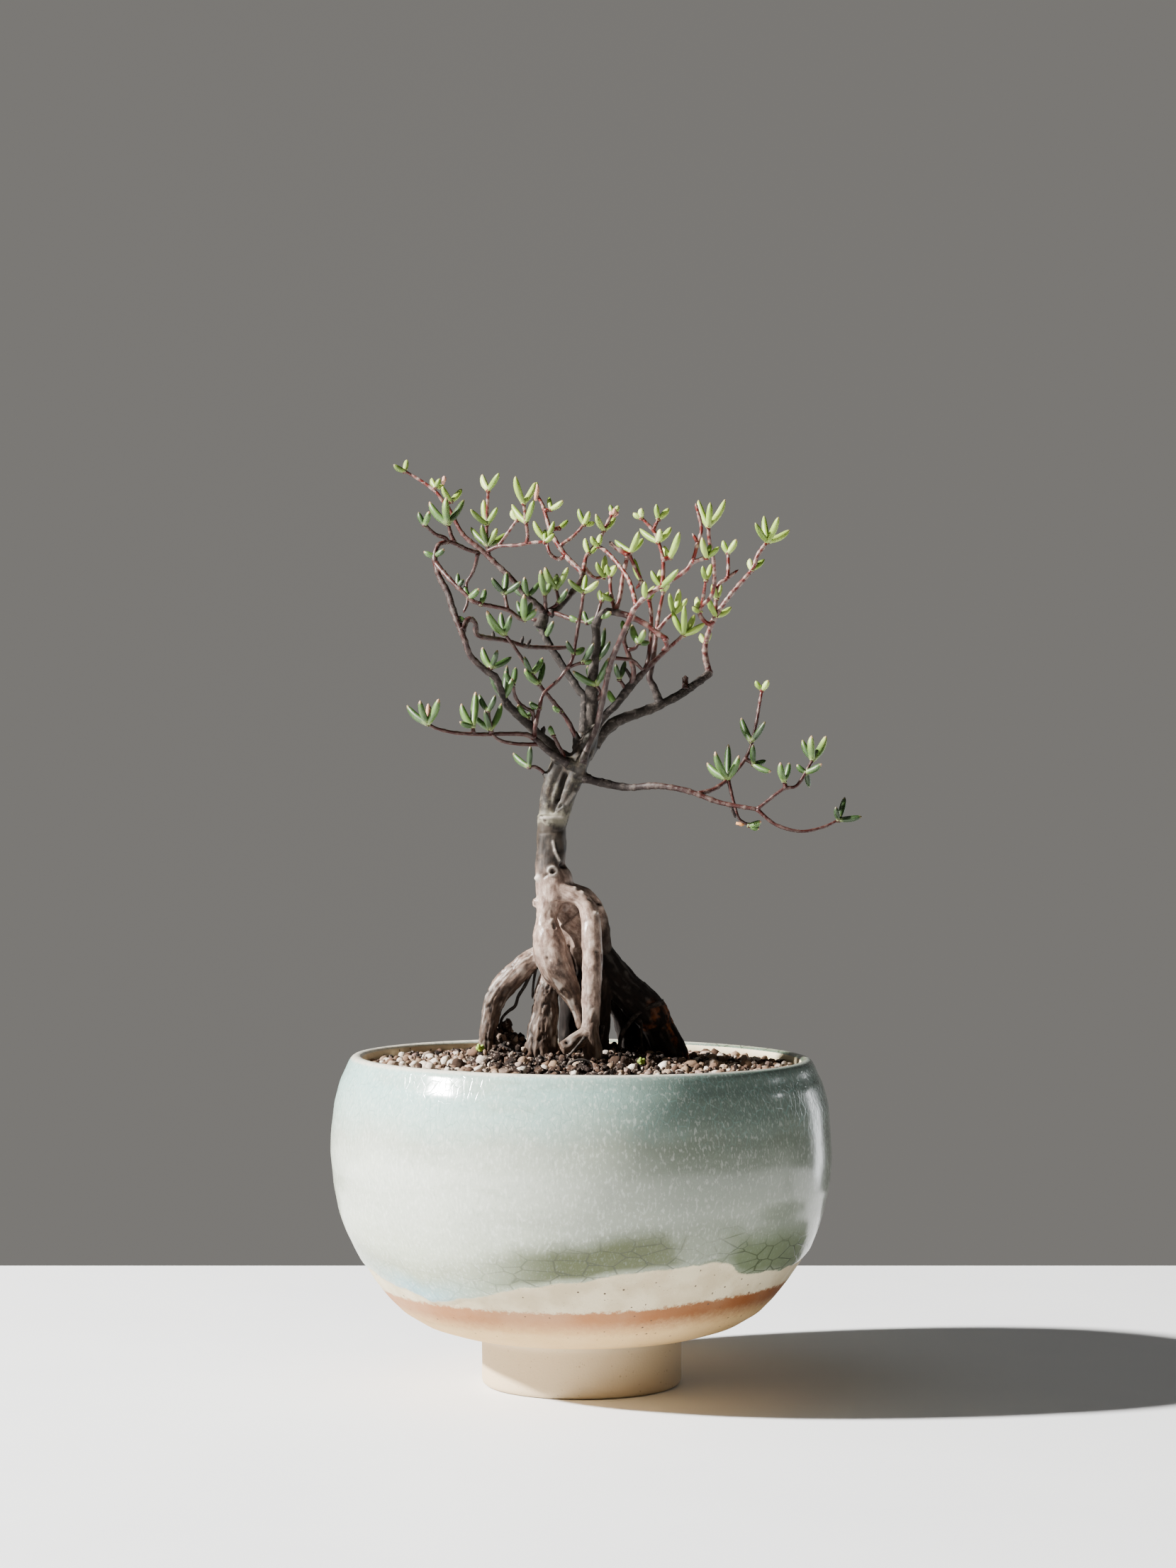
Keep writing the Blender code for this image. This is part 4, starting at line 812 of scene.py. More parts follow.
def nearest_ring(points):
    """For each point the ring that it most likely lies on: where distance less radius is least."""
    best = np.empty(len(points), int)
    for first in range(0, len(points), BATCH):
        some = points[first:first + BATCH]
        away = (some**2).sum(1)[:, None] + (root_centres**2).sum(1) - 2 * some @ root_centres.T
        best[first:first + BATCH] = np.argmin(np.sqrt(np.maximum(away, 0)) - root_radii, axis=1)
    return best


def seen_from_eye(points):
    """The reverse of placed(): where points show on the plane through the pot's axis, in mm."""
    x, y, z = points.T / MM
    scale = 1 + y / EYE[2]
    return EYE[0] + (x - POT_X - EYE[0]) / scale, EYE[1] + (z - EYE[1]) / scale


print("a batch of distances is", BATCH, "points by", len(root_centres), "rings")

# %% [markdown]
# Marks that only this plant has are drawn one by one on the side that faces the camera: the dark
# split between the two lobes of the trunk, the ring-shaped knot, a small hole, and the thin strip of
# bark that peels. Each is a short line with a width, and a depth that is negative where it is cut in.

# %% Bark: marks as (start, end, width, depth), and the ring knot as (x, z, radius)
MARKS = (
    ((-7.4, 148.2), (-6.3, 151.5), 0.38, -0.9), ((-6.3, 151.5), (-4.3, 157.6), 0.42, -1.1),
    ((-6.6, 148.6), (-5.2, 149.6), 0.3, -0.5), ((-5.0, 134.2), (-4.7, 134.0), 0.55, -1.4),
    ((-7.4, 140.2), (-6.9, 138.0), 0.28, 0.5), ((-6.9, 138.0), (-5.9, 135.4), 0.28, 0.5),
    ((-6.5, 140.0), (-6.0, 137.6), 0.3, -0.5), ((-10.6, 146.4), (-5.0, 146.6), 0.3, 0.3),
    ((-10.8, 142.4), (-5.2, 142.9), 0.25, -0.2), ((-7.6, 132.6), (-7.5, 132.5), 0.42, -0.7),
    ((-12.7, 124.2), (-12.5, 123.9), 0.5, -0.7), ((-9.8, 131.2), (-8.6, 132.0), 0.3, -0.5),
    ((-3.4, 112.8), (-1.6, 106.5), 0.5, -0.5), ((-8.0, 119.4), (-7.4, 120.1), 0.35, 0.3),
    ((2.2, 125.6), (4.6, 124.2), 0.4, -0.8), ((-3.9, 88.6), (-3.6, 88.2), 0.6, -1.1),
    ((1.3, 154.0), (3.0, 151.4), 0.4, 0.5), ((-3.9, 150.0), (-1.9, 152.9), 0.4, 0.2),
    ((5.0, 123.2), (5.1, 123.3), 0.5, 0.5), ((3.6, 121.7), (3.7, 121.8), 0.5, 0.4),
    ((5.4, 119.9), (5.5, 120.0), 0.55, 0.5), ((-1.6, 128.3), (-1.5, 128.3), 0.5, 0.35),
    ((0.3, 127.2), (0.5, 127.1), 0.5, 0.35), ((-11.9, 130.7), (-11.5, 130.8), 0.7, 0.8),
    ((-7.2, 119.2), (-7.0, 117.9), 0.32, -0.6), ((-8.9, 110.1), (-8.4, 109.8), 0.5, -0.5),
    ((3.9, 111.8), (4.1, 111.7), 0.35, -0.6), ((4.9, 101.2), (5.1, 100.6), 0.4, -0.5),
    ((5.2, 111.0), (5.6, 107.5), 0.22, -0.4),
)
RING_KNOT, RING_WIDTH, RING_HEIGHT = (-7.55, 132.6, 1.05), 0.3, 0.5


def marks(x, z):
    """Depth in mm at seen points: each mark is depth * exp(-(distance to its line / width)^2).

    The ring knot is such a mark too, with the distance to a circle in place of a line.
    """
    depth = np.zeros(len(x))
    for start, end, width, deep in MARKS:
        a, b, p = np.array(start), np.array(end), np.stack([x, z], -1)
        t = np.clip(((p - a) @ (b - a)) / ((b - a) @ (b - a)), 0, 1)[:, None]
        depth += deep * np.exp(-(np.linalg.norm(p - a - t * (b - a), axis=1) / width) ** 2)
    away = np.hypot(x - RING_KNOT[0], z - RING_KNOT[1]) - RING_KNOT[2]
    return depth + RING_HEIGHT * np.exp(-(away / RING_WIDTH) ** 2)


def bark(points, normals):
    """Displacement in mm and the facts for the finish.

    In each root's own frame, stretched along its length, noise that crosses zero cuts a furrow:
    -depth * (1 - |noise|)^7. Broad swells and the marks are added.
    """
    ring = nearest_ring(points)
    off = points - root_centres[ring]
    forward, side, up = (root_frames[ring, k] for k in range(3))
    run = root_runs[ring] + (off * forward).sum(1)
    local = np.stack([(off * side).sum(1), (off * up).sum(1), run / GRAIN_LENGTH], -1) / MM
    local += root_number[ring][:, None] * 17.3
    wander = local + 0.5 * np.stack([noise(local, 2.5, 51), noise(local, 2.5, 52), np.zeros(len(local))], -1)
    x, z = seen_from_eye(points)
    rugged = root_furrows[root_number[ring]] * (0.25 + 0.75 * smoothstep(*RUGGED_HEIGHTS, points[:, 2] / MM))
    lines = (1 - np.abs(noise(wander, 1.25, 53))) ** 7 + 0.6 * (1 - np.abs(noise(wander, 0.7, 54))) ** 6
    patchy = smoothstep(-0.5, 0.4, noise(points / MM, 4.5, 55))
    furrow = lines * rugged * (0.45 + 0.55 * patchy)
    facing = smoothstep(0.05, 0.5, -normals[:, 1])
    drawn = marks(x, z) * facing
    height = 0.22 * noise(points / MM, 3.0, 56) + 0.10 * noise(points / MM, 1.4, 57) - 0.5 * furrow + drawn
    height += 0.18 * rugged * noise(wander, 0.55, 58)
    flakes = 0.9 * rugged * smoothstep(0.25, 0.7, noise(wander, 0.9, 59))
    facts = {
        "furrow": np.clip(furrow * 1.1 + np.maximum(0, -drawn), 0, 1),
        "flake": np.clip(np.maximum(0, drawn) * 2 + flakes, 0, 1),
        "shaded": root_shaded[root_number[ring]] * smoothstep(*SHADE_DEPTHS, points[:, 1] / MM),
        "pale": root_pale[root_number[ring]],
        "grain": local * MM,
    }
    return height, facts


print("marks on the bark:", len(MARKS))

# %% [markdown]
# Bark changes with age and place. High on the trunk it is dark grey with pale lichen, and darker still
# from painted shade; where the roots were last above ground it is smooth and pinkish; low down it is
# furrowed and dark. Painted shade makes the roots behind near black, with rusty patches where outer
# bark has rubbed off. The root in front keeps the pale, smooth bark down to the soil.

# %% Finish of the bark


def bark_ages(look, grain):
    """The colours of smooth, low and high bark, the high partly painted shade, and near-black painted shade
    on the shaded roots, mixed by height, side and root.

    Returned with the height in mm that they follow, wavy, and the same for the smooth bark's foot.
    """
    level = look.plus(look.axis("Z"), look.sway(look.cloud(7, detail=4), 14.0))
    streak = look.cloud(1.1, at=grain, detail=4, rough=0.65)
    even = look.mix(look.cloud(2.6, detail=5, rough=0.7), streak, 0.5)
    smooth_bark = look.ramp(even, (0.3, "3E2E27"), (0.43, "6F5A50"), (0.55, "9A8477"), (0.7, "CBBBAF"))
    low_bark = look.ramp(streak, (0.25, "1E140F"), (0.45, "3F3027"), (0.62, "604E42"), (0.85, "A08E80"))
    # The high bark is dark partly of itself and partly from painted shade under the crown.
    high_bark_and_shade = look.ramp(even, (0.3, "0B0806"), (0.44, "15100B"), (0.56, "281F17"), (0.72, "5C4D3F"))
    # Near-black painted shade for the roots behind and the right side of the front column.
    painted_shade_bark = look.ramp(streak, (0.25, "080504"), (0.5, "120C09"), (0.7, "1D1410"), (0.9, "32251D"))
    pale = look.plus(level, look.times(look.fact("pale"), 13.0))
    colour = look.mix(low_bark, smooth_bark, look.span(pale, 100, 114))
    colour = look.mix(colour, high_bark_and_shade, look.span(level, 125, 139))
    # Painted shade: it covers the shaded roots below a height that rises towards the right.
    inner = look.less(level, look.span(look.axis("X"), -2, 6, 0, 18))
    return look.mix(colour, painted_shade_bark, look.fact("shaded"), look.span(inner, 112, 105)), level, pale


def lichen_and_rust(look, colour, level):
    """Rust low on the right, pale lichen on the trunk with a ring of it, and a dark ring below that."""
    x, z = look.axis("X"), look.axis("Z")
    rusty = look.times(look.span(x, 9, 17), look.span(look.cloud(5, detail=4), 0.5, 0.62))
    colour = look.mix(colour, "8A4E27", rusty, look.span(z, 103, 92, 0, 0.8))
    lichen = look.times(look.span(look.cloud(3.4, detail=5, rough=0.7), 0.48, 0.68), look.span(z, 140, 147))
    ring = look.times(look.span(z, 143.5, 145.5), look.span(z, 149.5, 147.0))
    lichen = look.most(look.times(lichen, 0.5), look.times(ring, look.span(look.cloud(2.5), 0.36, 0.5)))
    colour = look.mix(colour, "85806E", lichen, 0.55)
    below_ring = look.times(look.span(level, 139.5, 141), look.span(level, 144.5, 143))
    return look.mix(colour, "31281F", below_ring, 0.8)


def bark_look():
    """Bark by age and place, dark in the furrows, pale on the flakes, and fibrous low down."""
    look = Finish("root_bark", specular_ior_level=0.28)
    grain = look.fact("grain", out="Vector")
    colour, level, pale = bark_ages(look, grain)
    colour = lichen_and_rust(look, colour, level)
    colour = look.mix(colour, "D2C7BB", look.fact("flake"), look.span(look.fact("shaded"), 0, 1, 0.6, 0.08))
    colour = look.mix(colour, "17100D", look.fact("furrow"), 0.86)
    fibres = look.times(look.cloud(0.5, at=grain, detail=3), look.span(pale, 98, 112, 1.0, 0.4))
    dull = look.most(look.span(level, 124, 138, 0, 0.3), look.fact("shaded"))
    look.wear(base_color=colour, roughness=look.plus(look.span(level, 98, 112, 0.66, 0.3), dull),
              normal=look.relief(look.cloud(0.28, detail=3), 0.012, look.relief(fibres, 0.12)))
    return look.material


bark_finish = bark_look()
print("the bark's finish has", len(bark_finish.node_tree.nodes), "nodes")

# %% The woody base


def make_base():
    """Swept roots, melted to one skin, then moved along its normals by the bark's height."""
    grids = (rings_along(path, radius, ROOT_SIDES) for path, radius in zip(root_paths, radii))
    tubes = [closed_tubes(grid[None]) for grid in grids]
    mesh = melted("woody_base", mesh_of("roots", *gathered(tubes)), ROOT_VOXEL, ROOT_SOFTENING)
    points, normals = read(mesh.vertices, "co"), read(mesh.vertex_normals, "vector")
    height, facts = bark(points, normals)
    points += normals * height[:, None] * MM
    mesh.vertices.foreach_set("co", points.astype(np.float32).ravel())
    store(mesh, facts)
    mesh.shade_smooth()
    mesh.update()
    piece("woody_base", mesh, bark_finish, "root_bark", "caudex")


make_base()

# %% [markdown]
# Gravel and crumbs are the same kind of shape: a small ball of a few rings, pushed in and out by
# noise, squeezed, and turned its own way. All of one kind are worked out together and make a single
# piece. Darts thrown at the bed find the places, and a dart too near an earlier one is dropped. Only
# the nine large stones lie where they are listed.

# %% Grains
DARTBOARD, GRAVEL_REACH, ROOT_ROOM = 56.5, 56.3, 0.15
ROOTS_NEAR_SOIL = (78, 90)


def from_trunk(x, y):
    """Distance in mm from the roots; the dark mix reaches further to the front than to the sides."""
    return np.hypot(1.15 * (x + 1), np.where(y < 0, 0.42, 0.8) * y)


def turned_any_way(draw, count):
    """Random turns as matrices, from unit quaternions (w, x, y, z)."""
    w, x, y, z = unit(draw.normal(size=(count, 4))).T
    return np.stack([
        1 - 2 * (y * y + z * z), 2 * (x * y - w * z), 2 * (x * z + w * y),
        2 * (x * y + w * z), 1 - 2 * (x * x + z * z), 2 * (y * z - w * x),
        2 * (x * z - w * y), 2 * (y * z + w * x), 1 - 2 * (x * x + y * y)], -1).reshape(-1, 3, 3)


def clear_of_roots(x, y):
    """Whether spots (mm from the pot's axis) leave some room to every root near the soil."""
    height = root_centres[:, 2] / MM
    low = (height > ROOTS_NEAR_SOIL[0]) & (height < ROOTS_NEAR_SOIL[1])
    where = root_centres[low, :2] / MM - (POT_X, 0)
    away = np.hypot(x[:, None] - where[:, 0], y[:, None] - where[:, 1]) - root_radii[low] / MM
    return away.min(1) > ROOT_ROOM


def strewn(seed, darts, sizes, chance, closeness):
    """Spots (x, y, size) for grains: each dart stays if it is clear of those before it.

    A dart may stay at all with the chance least + more * smoothstep(start, end, distance from the
    trunk), and two of them keep closeness times their mean size apart.
    """
    least, more, start, end = chance
    draw = np.random.default_rng(seed)
    radius, turn = DARTBOARD * np.sqrt(draw.random(darts)), 2 * math.pi * draw.random(darts)
    x, y = radius * np.cos(turn), radius * np.sin(turn)
    size = sizes[0] + (sizes[1] - sizes[0]) * draw.random(darts) ** 1.6
    wanted = draw.random(darts) < least + more * smoothstep(start, end, from_trunk(x, y))
    stay = wanted & (radius + 0.4 * size < GRAVEL_REACH) & clear_of_roots(x, y)
    x, y, size = x[stay], y[stay], size[stay]
    kept = []
    for k in range(len(x)):
        near = np.hypot(x[kept] - x[k], y[kept] - y[k]) < closeness * (size[kept] + size[k]) / 2
        if not near.any():
            kept.append(k)
    return x[kept], y[kept], size[kept]


def make_grains(name, finish, spots, seed, rings, sides, ragged, flat, lift):
    """Grains of radius size/2 * (1 + ragged * noise), squeezed by up to flat, turned, and set on the bed."""
    x, y, size = spots
    draw, count = np.random.default_rng(seed), len(x)
    tilt = np.linspace(0.35, math.pi - 0.35, rings)[:, None]
    turn = np.linspace(0, 2 * math.pi, sides, endpoint=False)[None]
    ball = (np.sin(tilt) * np.cos(turn), np.sin(tilt) * np.sin(turn), -np.cos(tilt))
    ball = np.stack(np.broadcast_arrays(*ball), -1)[None]
    own = draw.random((count, 1, 1, 3)) * 40
    swell = 1 + ragged * (noise(ball + own, 0.9, seed) + 0.5 * noise(ball + own, 0.4, seed + 1))
    squeeze = 1 - flat * draw.random((count, 1, 1, 3))
    grid = ball * swell[..., None] * squeeze * size[:, None, None, None] / 2
    grid = np.einsum("nij,nrsj->nrsi", turned_any_way(draw, count), grid)
    height = soil_height(x, y) + lumps(x, y) + lift * size
    grid = grid + np.stack([x, y, height], -1)[:, None, None]
    tone = np.broadcast_to(draw.random((count, 1, 1)), (count, rings, sides))
    piece(name, closed_tubes(settled(grid * MM), tone=tone), finish, "gravelly_soil")


print("the trunk leaves room 40 mm out:", bool(clear_of_roots(np.array([40.0]), np.array([0.0]))[0]))

# %% Finishes of the grains, and where they lie


def grain_look(name, pits, depth, speckle, *colours):
    """Grains in several colours by their tone, with pits of one size in mm and a share of pale specks."""
    look = Finish(name, roughness=0.9, specular_ior_level=0.2)
    colour = look.ramp(look.fact("tone"), *colours)
    if speckle:
        specks = look.cloud(0.8, detail=4, rough=0.75)
        colour = look.mix(colour, "A8988C", look.span(specks, 0.56, 0.64, 0, speckle))
    pitted = look.cloud(pits, detail=4, rough=0.7)
    look.wear(base_color=look.mix(colour, "3A2B24", look.span(pitted, 0.46, 0.34), 0.55),
              normal=look.relief(pitted, depth))
    return look.material


# The large stones: (x, y, size)
STONES = (
    (-14.9, -12.5, 4.4), (-25.5, -9.0, 3.8), (-31.5, -12.0, 4.0), (21.0, -17.0, 3.9), (8.6, -15.5, 3.4),
    (-7.0, -21.5, 3.3), (28.5, -9.0, 4.2), (-38.0, -4.0, 4.1), (34.0, -22.0, 3.6),
)
pumice = grain_look("pumice", 0.9, 0.16, 0, (0.0, "36281F"), (0.2, "644C3D"), (0.46, "8C745E"),
                    (0.72, "B09C8B"), (0.88, "D2C8BA"), (1.0, "86695F"))
crumb = grain_look("dark_crumbs", 0.5, 0.2, 0.7, (0.0, "0F0906"), (0.4, "1D120D"), (0.7, "302016"),
                   (0.88, "523E32"), (1.0, "97877A"))

# Piece, finish, seed, (darts, sizes, chance, closeness), (rings, sides, ragged, flat, lift)
GRAVEL = (
    ("pumice_grains", pumice, 61, (9000, (1.6, 3.7), (0.04, 0.96, 23, 40), 0.84), (5, 8, 0.34, 0.34, 0.22)),
    ("soil_crumbs", crumb, 63, (15000, (0.7, 2.6), (0.2, 0.8, 40, 24), 0.66), (4, 6, 0.5, 0.4, 0.25)),
    ("fine_grit", pumice, 65, (2600, (0.5, 1.3), (0.15, 0.65, 18, 36), 0.9), (3, 5, 0.3, 0.3, 0.7)),
    ("soil_clods", crumb, 67, (1100, (1.8, 3.9), (0, 0.6, 32, 20), 0.8), (8, 10, 0.85, 0.35, 0.2)),
)
for name, finish, seed, darts, shape in GRAVEL:
    make_grains(name, finish, strewn(seed, *darts), seed + 1, *shape)
make_grains("big_stones", pumice, np.array(STONES).T, 69, 8, 12, 0.3, 0.25, 0.18)

# %% [markdown]
# Each limb is a branching stem, written down as the photo shows it: for each stem its depths and
# radii, spread evenly along it, and its points. Its tufts follow: where each one sits, and its
# leaves as an angle from upright and a length.

# %% The limbs: ((depths), (radii), (points (x, z)))
LIMBS = {
    "limb_far_left": (
        ((0, -4, -8, -12, -10, -8, -3), (1.5, 1.15, 0.9, 0.7, 0.85, 0.6, 0.5),
         ((-6, 162), (-8.5, 165.6), (-10.8, 167.6), (-13.5, 170.3), (-17.3, 173.8), (-19.9, 176.8),
          (-22.1, 182.5), (-25.4, 185.1), (-28.9, 188.6), (-30.4, 192.8), (-33.2, 199.9), (-34.6, 204.7),
          (-36.7, 208.5), (-38.1, 213.6), (-37.4, 216.8), (-36, 217.8), (-33.6, 217.9), (-30.1, 216.2),
          (-26.1, 215))),
        ((-4, -5, -6), (0.6, 0.5, 0.4),
         ((-12.2, 169.2), (-12.6, 173.6), (-14.6, 174.9), (-15.8, 175.8), (-17.2, 177.8), (-17.8, 181))),
        ((-8, -9), (0.5, 0.4), ((-34.6, 217.8), (-35.5, 219.1), (-37.9, 220), (-40.7, 222.5))),
        ((-8, -6), (0.5, 0.4), ((-33, 217.9), (-33.9, 220), (-34.6, 222.8))),
        ((-4, -2, -4), (0.45, 0.35),
         ((-26.9, 215.1), (-27.5, 212.2), (-28.5, 209.6), (-29.9, 207.1), (-29.6, 202.5), (-30.7, 199.6))),
        ((-10, -13, -14, -13, -12), (0.6, 0.5),
         ((-37.8, 212.4), (-36.7, 211.1), (-33.9, 208), (-30.4, 204.7), (-28.5, 202.8), (-26.1, 201.9),
          (-19.3, 200.4), (-16.2, 198.2), (-14, 197.8))),
        ((-13, -12), (0.45, 0.4), ((-19.2, 200.3), (-20, 204.7))),
        ((-12, -10, -6, 0, 6, 8), (0.75, 0.6, 0.5),
         ((-31, 195), (-30.1, 197.3), (-28.9, 198), (-27.6, 196.8), (-27.3, 194.2), (-25.6, 193.3),
          (-20.2, 192.5), (-14.4, 190.9), (-10, 190.6), (-5.5, 190.5), (-3.6, 190.7))),
    ),
    "limb_knot": (
        ((4, 6, 8, 9), (1.1, 1.0, 1.0),
         ((0.4, 168), (0.8, 177.1), (-0.8, 179.6), (-4.6, 185.3), (-8.1, 190.9), (-10.7, 195.9),
          (-11.9, 196.8))),
        ((9, 9), (1.3, 1.4, 1.1), ((-10.6, 195.8), (-10, 198), (-9.2, 200.2))),
        ((9, 8, 4), (0.6, 0.45), ((-9.4, 199.3), (-6.7, 199.4), (-2.5, 197.9), (1.5, 197.1))),
        ((9, 9), (0.6, 0.5), ((-10, 197.7), (-13.1, 197.8))),
        ((9, 8, 10, 12, 14), (0.85, 0.7, 0.5, 0.35),
         ((-9.6, 199.6), (-12, 202.1), (-14.8, 204.5), (-18.4, 208.7), (-22.1, 212.2), (-26.1, 216),
          (-30.8, 220), (-34.1, 226.1), (-36, 228.6), (-37.9, 231.1), (-41.9, 234), (-45.9, 236.4))),
        ((8, 9, 8), (0.45, 0.4), ((-24, 214.3), (-24.6, 218.8), (-24.5, 225), (-24.2, 231.5))),
        ((8, 6, 5), (0.45, 0.4),
         ((-24.4, 215.6), (-21.4, 216.9), (-16.7, 217.1), (-13.2, 217.8), (-9.5, 218))),
        ((7.6, 7), (0.45, 0.35), ((-21.6, 216.8), (-16.7, 223.8))),
        ((5.6, 5), (0.45, 0.4), ((-14.2, 217.6), (-14, 220), (-14.4, 223.2), (-15, 228.2))),
        ((9, 8), (0.5, 0.4), ((-9.3, 199.8), (-9.5, 204.5))),
        ((9, 9), (0.45, 0.4), ((-8.5, 200.2), (-6.1, 202.3), (-6.6, 206))),
        ((10, 12, 15, 17, 19, 20), (0.9, 0.75, 0.6, 0.45),
         ((-8.2, 199.4), (-5.8, 201.2), (-2, 205.4), (0.1, 208.2), (0.3, 209.6), (-0.8, 211.1),
          (-4.1, 214.4), (-7.6, 219.8), (-9.3, 224.9), (-10.2, 227.8), (-11.8, 230.4))),
        ((17, 17, 18), (0.5, 0.4), ((-4.2, 214.5), (-6, 213.6), (-8.2, 215), (-9.3, 218.6))),
        ((17.6, 17), (0.45, 0.4), ((-5.6, 216.9), (-2, 219.6), (0.7, 222.6))),
        ((15, 17, 18, 18), (0.55, 0.45),
         ((0.3, 209.4), (0.8, 212.5), (1.5, 214.6), (4.5, 218.5), (7.2, 223.8), (8.4, 225.5))),
        ((15, 15), (0.45, 0.4), ((0.8, 211.2), (3.2, 208.8), (5.8, 208.9))),
    ),
    "limb_low_left": (
        ((-4.5, -5.5, -6), (0.95, 0.8),
         ((-3.5, 160.6), (-7.9, 163.2), (-11.4, 166.2), (-12.6, 167.4))),
        ((-6, -7, -10, -12), (0.6, 0.5, 0.4),
         ((-12.4, 167.2), (-14.9, 168.1), (-20.8, 168.2), (-26.4, 168.1), (-32.9, 168.5), (-37.9, 169.7),
          (-39.9, 170.9))),
        ((-5.8, -7, -8), (0.5, 0.4), ((-10.6, 165.5), (-16.7, 165.6), (-21.1, 166.5), (-23.4, 168.3))),
        ((-4.9, -4.5, -5), (0.5, 0.45), ((-4.4, 161.2), (-4.9, 163.2), (-6.1, 165.3), (-7.3, 167.9))),
        ((-6, -6, -5, -4.5), (0.6, 0.45, 0.4),
         ((-12.4, 166.9), (-12, 170.3), (-10.8, 175.6), (-9.8, 178.7), (-6, 182.2), (-3.4, 185.3),
          (0.4, 186.8))),
        ((-4.8, -4.5, -5), (0.45, 0.4),
         ((-3.6, 185.1), (-2.3, 188), (-1.5, 192.4), (-0.9, 196.1), (-0.1, 200.4), (0.5, 205))),
    ),
    "shoot_left": (
        ((0, -1, -3, -5), (0.65, 0.5, 0.4),
         ((-1.3, 167), (-2.2, 168.9), (-4.6, 173.1), (-10.7, 180.6), (-14.2, 185.8), (-17.3, 190.5),
          (-20, 194.2))),
    ),
    "shoot_trunk": (
        ((1, 0.4), (0.5, 0.4), ((-8.6, 157), (-11.4, 159.4), (-13.6, 159.7))),
    ),
    "limb_centre": (
        ((0, -1, -1, -1.5), (1.6, 1.5, 1.25, 1.05),
         ((2.4, 168), (2.6, 175), (2.7, 180), (3.2, 186), (3.8, 191), (3.7, 196), (3.4, 197.4))),
        ((-1.5, -4, -5, -6), (0.95, 0.8, 0.65),
         ((3.7, 196.6), (5.8, 199.7), (10.9, 199.2), (16.7, 196.6), (19.8, 194.2), (22.6, 192.6))),
        ((-5.8, -5), (0.55, 0.45), ((21.6, 193), (22.1, 190.9), (20.7, 189.8))),
        ((-2, -1), (0.5, 0.4), ((3.6, 197.6), (5.2, 202.8))),
        ((-1, -2), (0.5, 0.45), ((2.7, 175.6), (4.9, 178.4), (3.8, 181))),
        ((-4, -3, -2, -2), (0.6, 0.5),
         ((8.6, 199.6), (10, 204), (10.7, 208.9), (12, 214.5), (12.8, 215.5))),
        ((-2, -1), (0.55, 0.5), ((12.2, 214.5), (8.6, 216.7), (7.2, 218.1))),
        ((-2, -1, 0), (0.45, 0.4), ((12.3, 214.8), (14.2, 210.6), (15.4, 208), (14.1, 205.8))),
        ((-4, -1, 0), (0.5, 0.45), ((8.7, 199.8), (7.6, 204.7), (7.4, 209.2))),
    ),
    "limb_front": (
        ((-4.5, -5, -8, -11, -13, -14, -14), (0.85, 0.75, 0.7, 0.65, 0.5, 0.4),
         ((0.4, 160.5), (1.8, 165.2), (3.9, 169.9), (5.6, 177.6), (7.4, 186), (9.8, 192.1), (12.1, 197.1),
          (13.8, 200.8), (16.9, 204), (21.2, 206.8), (26.8, 210.4), (28.9, 213.4), (30.1, 217.6),
          (31.1, 221.6), (29.6, 228))),
        ((-14, -14), (0.5, 0.45), ((28.6, 212.7), (32.5, 214))),
        ((-14, -14), (0.4, 0.3), ((30, 218.2), (28.7, 220.2))),
        ((-12, -9, -6, -3), (0.55, 0.45),
         ((14.2, 201.4), (12.6, 207.3), (10.2, 211.3), (6.9, 215.1), (4.3, 217))),
        ((-13, -13, -12), (0.55, 0.45, 0.4),
         ((21, 206.8), (21.2, 212.9), (20.2, 217.2), (18.8, 220.7), (15.5, 224.3))),
        ((-12.2, -12), (0.45, 0.4), ((18.6, 221), (19.9, 224))),
        ((-10, -8, -6), (0.5, 0.4), ((7.9, 187.9), (11.4, 187.6), (13.3, 187.2), (15.9, 184.7))),
    ),
    "limb_inner": (
        ((-2.5, -2, -1, 0, 1), (0.8, 1.1, 0.65, 0.45),
         ((3.6, 169.3), (6.5, 173.4), (8.6, 175.5), (12.7, 180.6), (16, 184.1), (19.8, 187.9),
          (23.1, 190.9), (26.6, 194))),
        ((-1, -3, -3), (0.65, 0.55),
         ((12.9, 180.9), (13.5, 184.8), (11.9, 189.5), (11, 192.5), (11.4, 194.8))),
        ((-3, -3.5), (0.45, 0.4), ((12, 190), (13.9, 190.4), (14.8, 191.9))),
        ((-1.4, -1.5), (0.5, 0.4), ((11.6, 179.6), (9.8, 182.4))),
        ((0, 3, 1), (0.6, 0.5), ((16.4, 184.6), (17.4, 188.1), (18.1, 197.8), (17.5, 203.2))),
    ),
    "limb_right": (
        ((2, 3, 5, 7, 9), (1.6, 1.4, 1.1, 0.95),
         ((3, 165.7), (7.3, 170.2), (10.5, 172.1), (17.1, 174.4), (25.1, 178.1), (31.5, 182.7),
          (33.8, 184.4))),
        ((7.6, 8), (0.75, 0.7), ((27, 179.6), (26.9, 183.3))),
        ((9, 9, 8, 8, 8), (0.8, 0.6, 0.5),
         ((33.2, 183.8), (32.2, 187.9), (32.2, 191.9), (34.4, 198), (38.4, 204), (44.2, 210.8),
          (45.6, 214.4), (48.2, 218.1))),
        ((8, 8, 9), (0.5, 0.45), ((34.6, 198.4), (35.3, 206.4), (37.8, 208.9), (38, 215.2))),
        ((8.6, 9), (0.4, 0.35), ((37.4, 208.3), (40.7, 210.8))),
        ((8, 6, 4, 2, 0), (0.55, 0.5, 0.45),
         ((34.2, 197.4), (32.7, 196.8), (30.6, 199.2), (31.1, 201.2), (34, 204.7), (34.4, 211.8),
          (33.2, 218.1), (32.9, 222.1))),
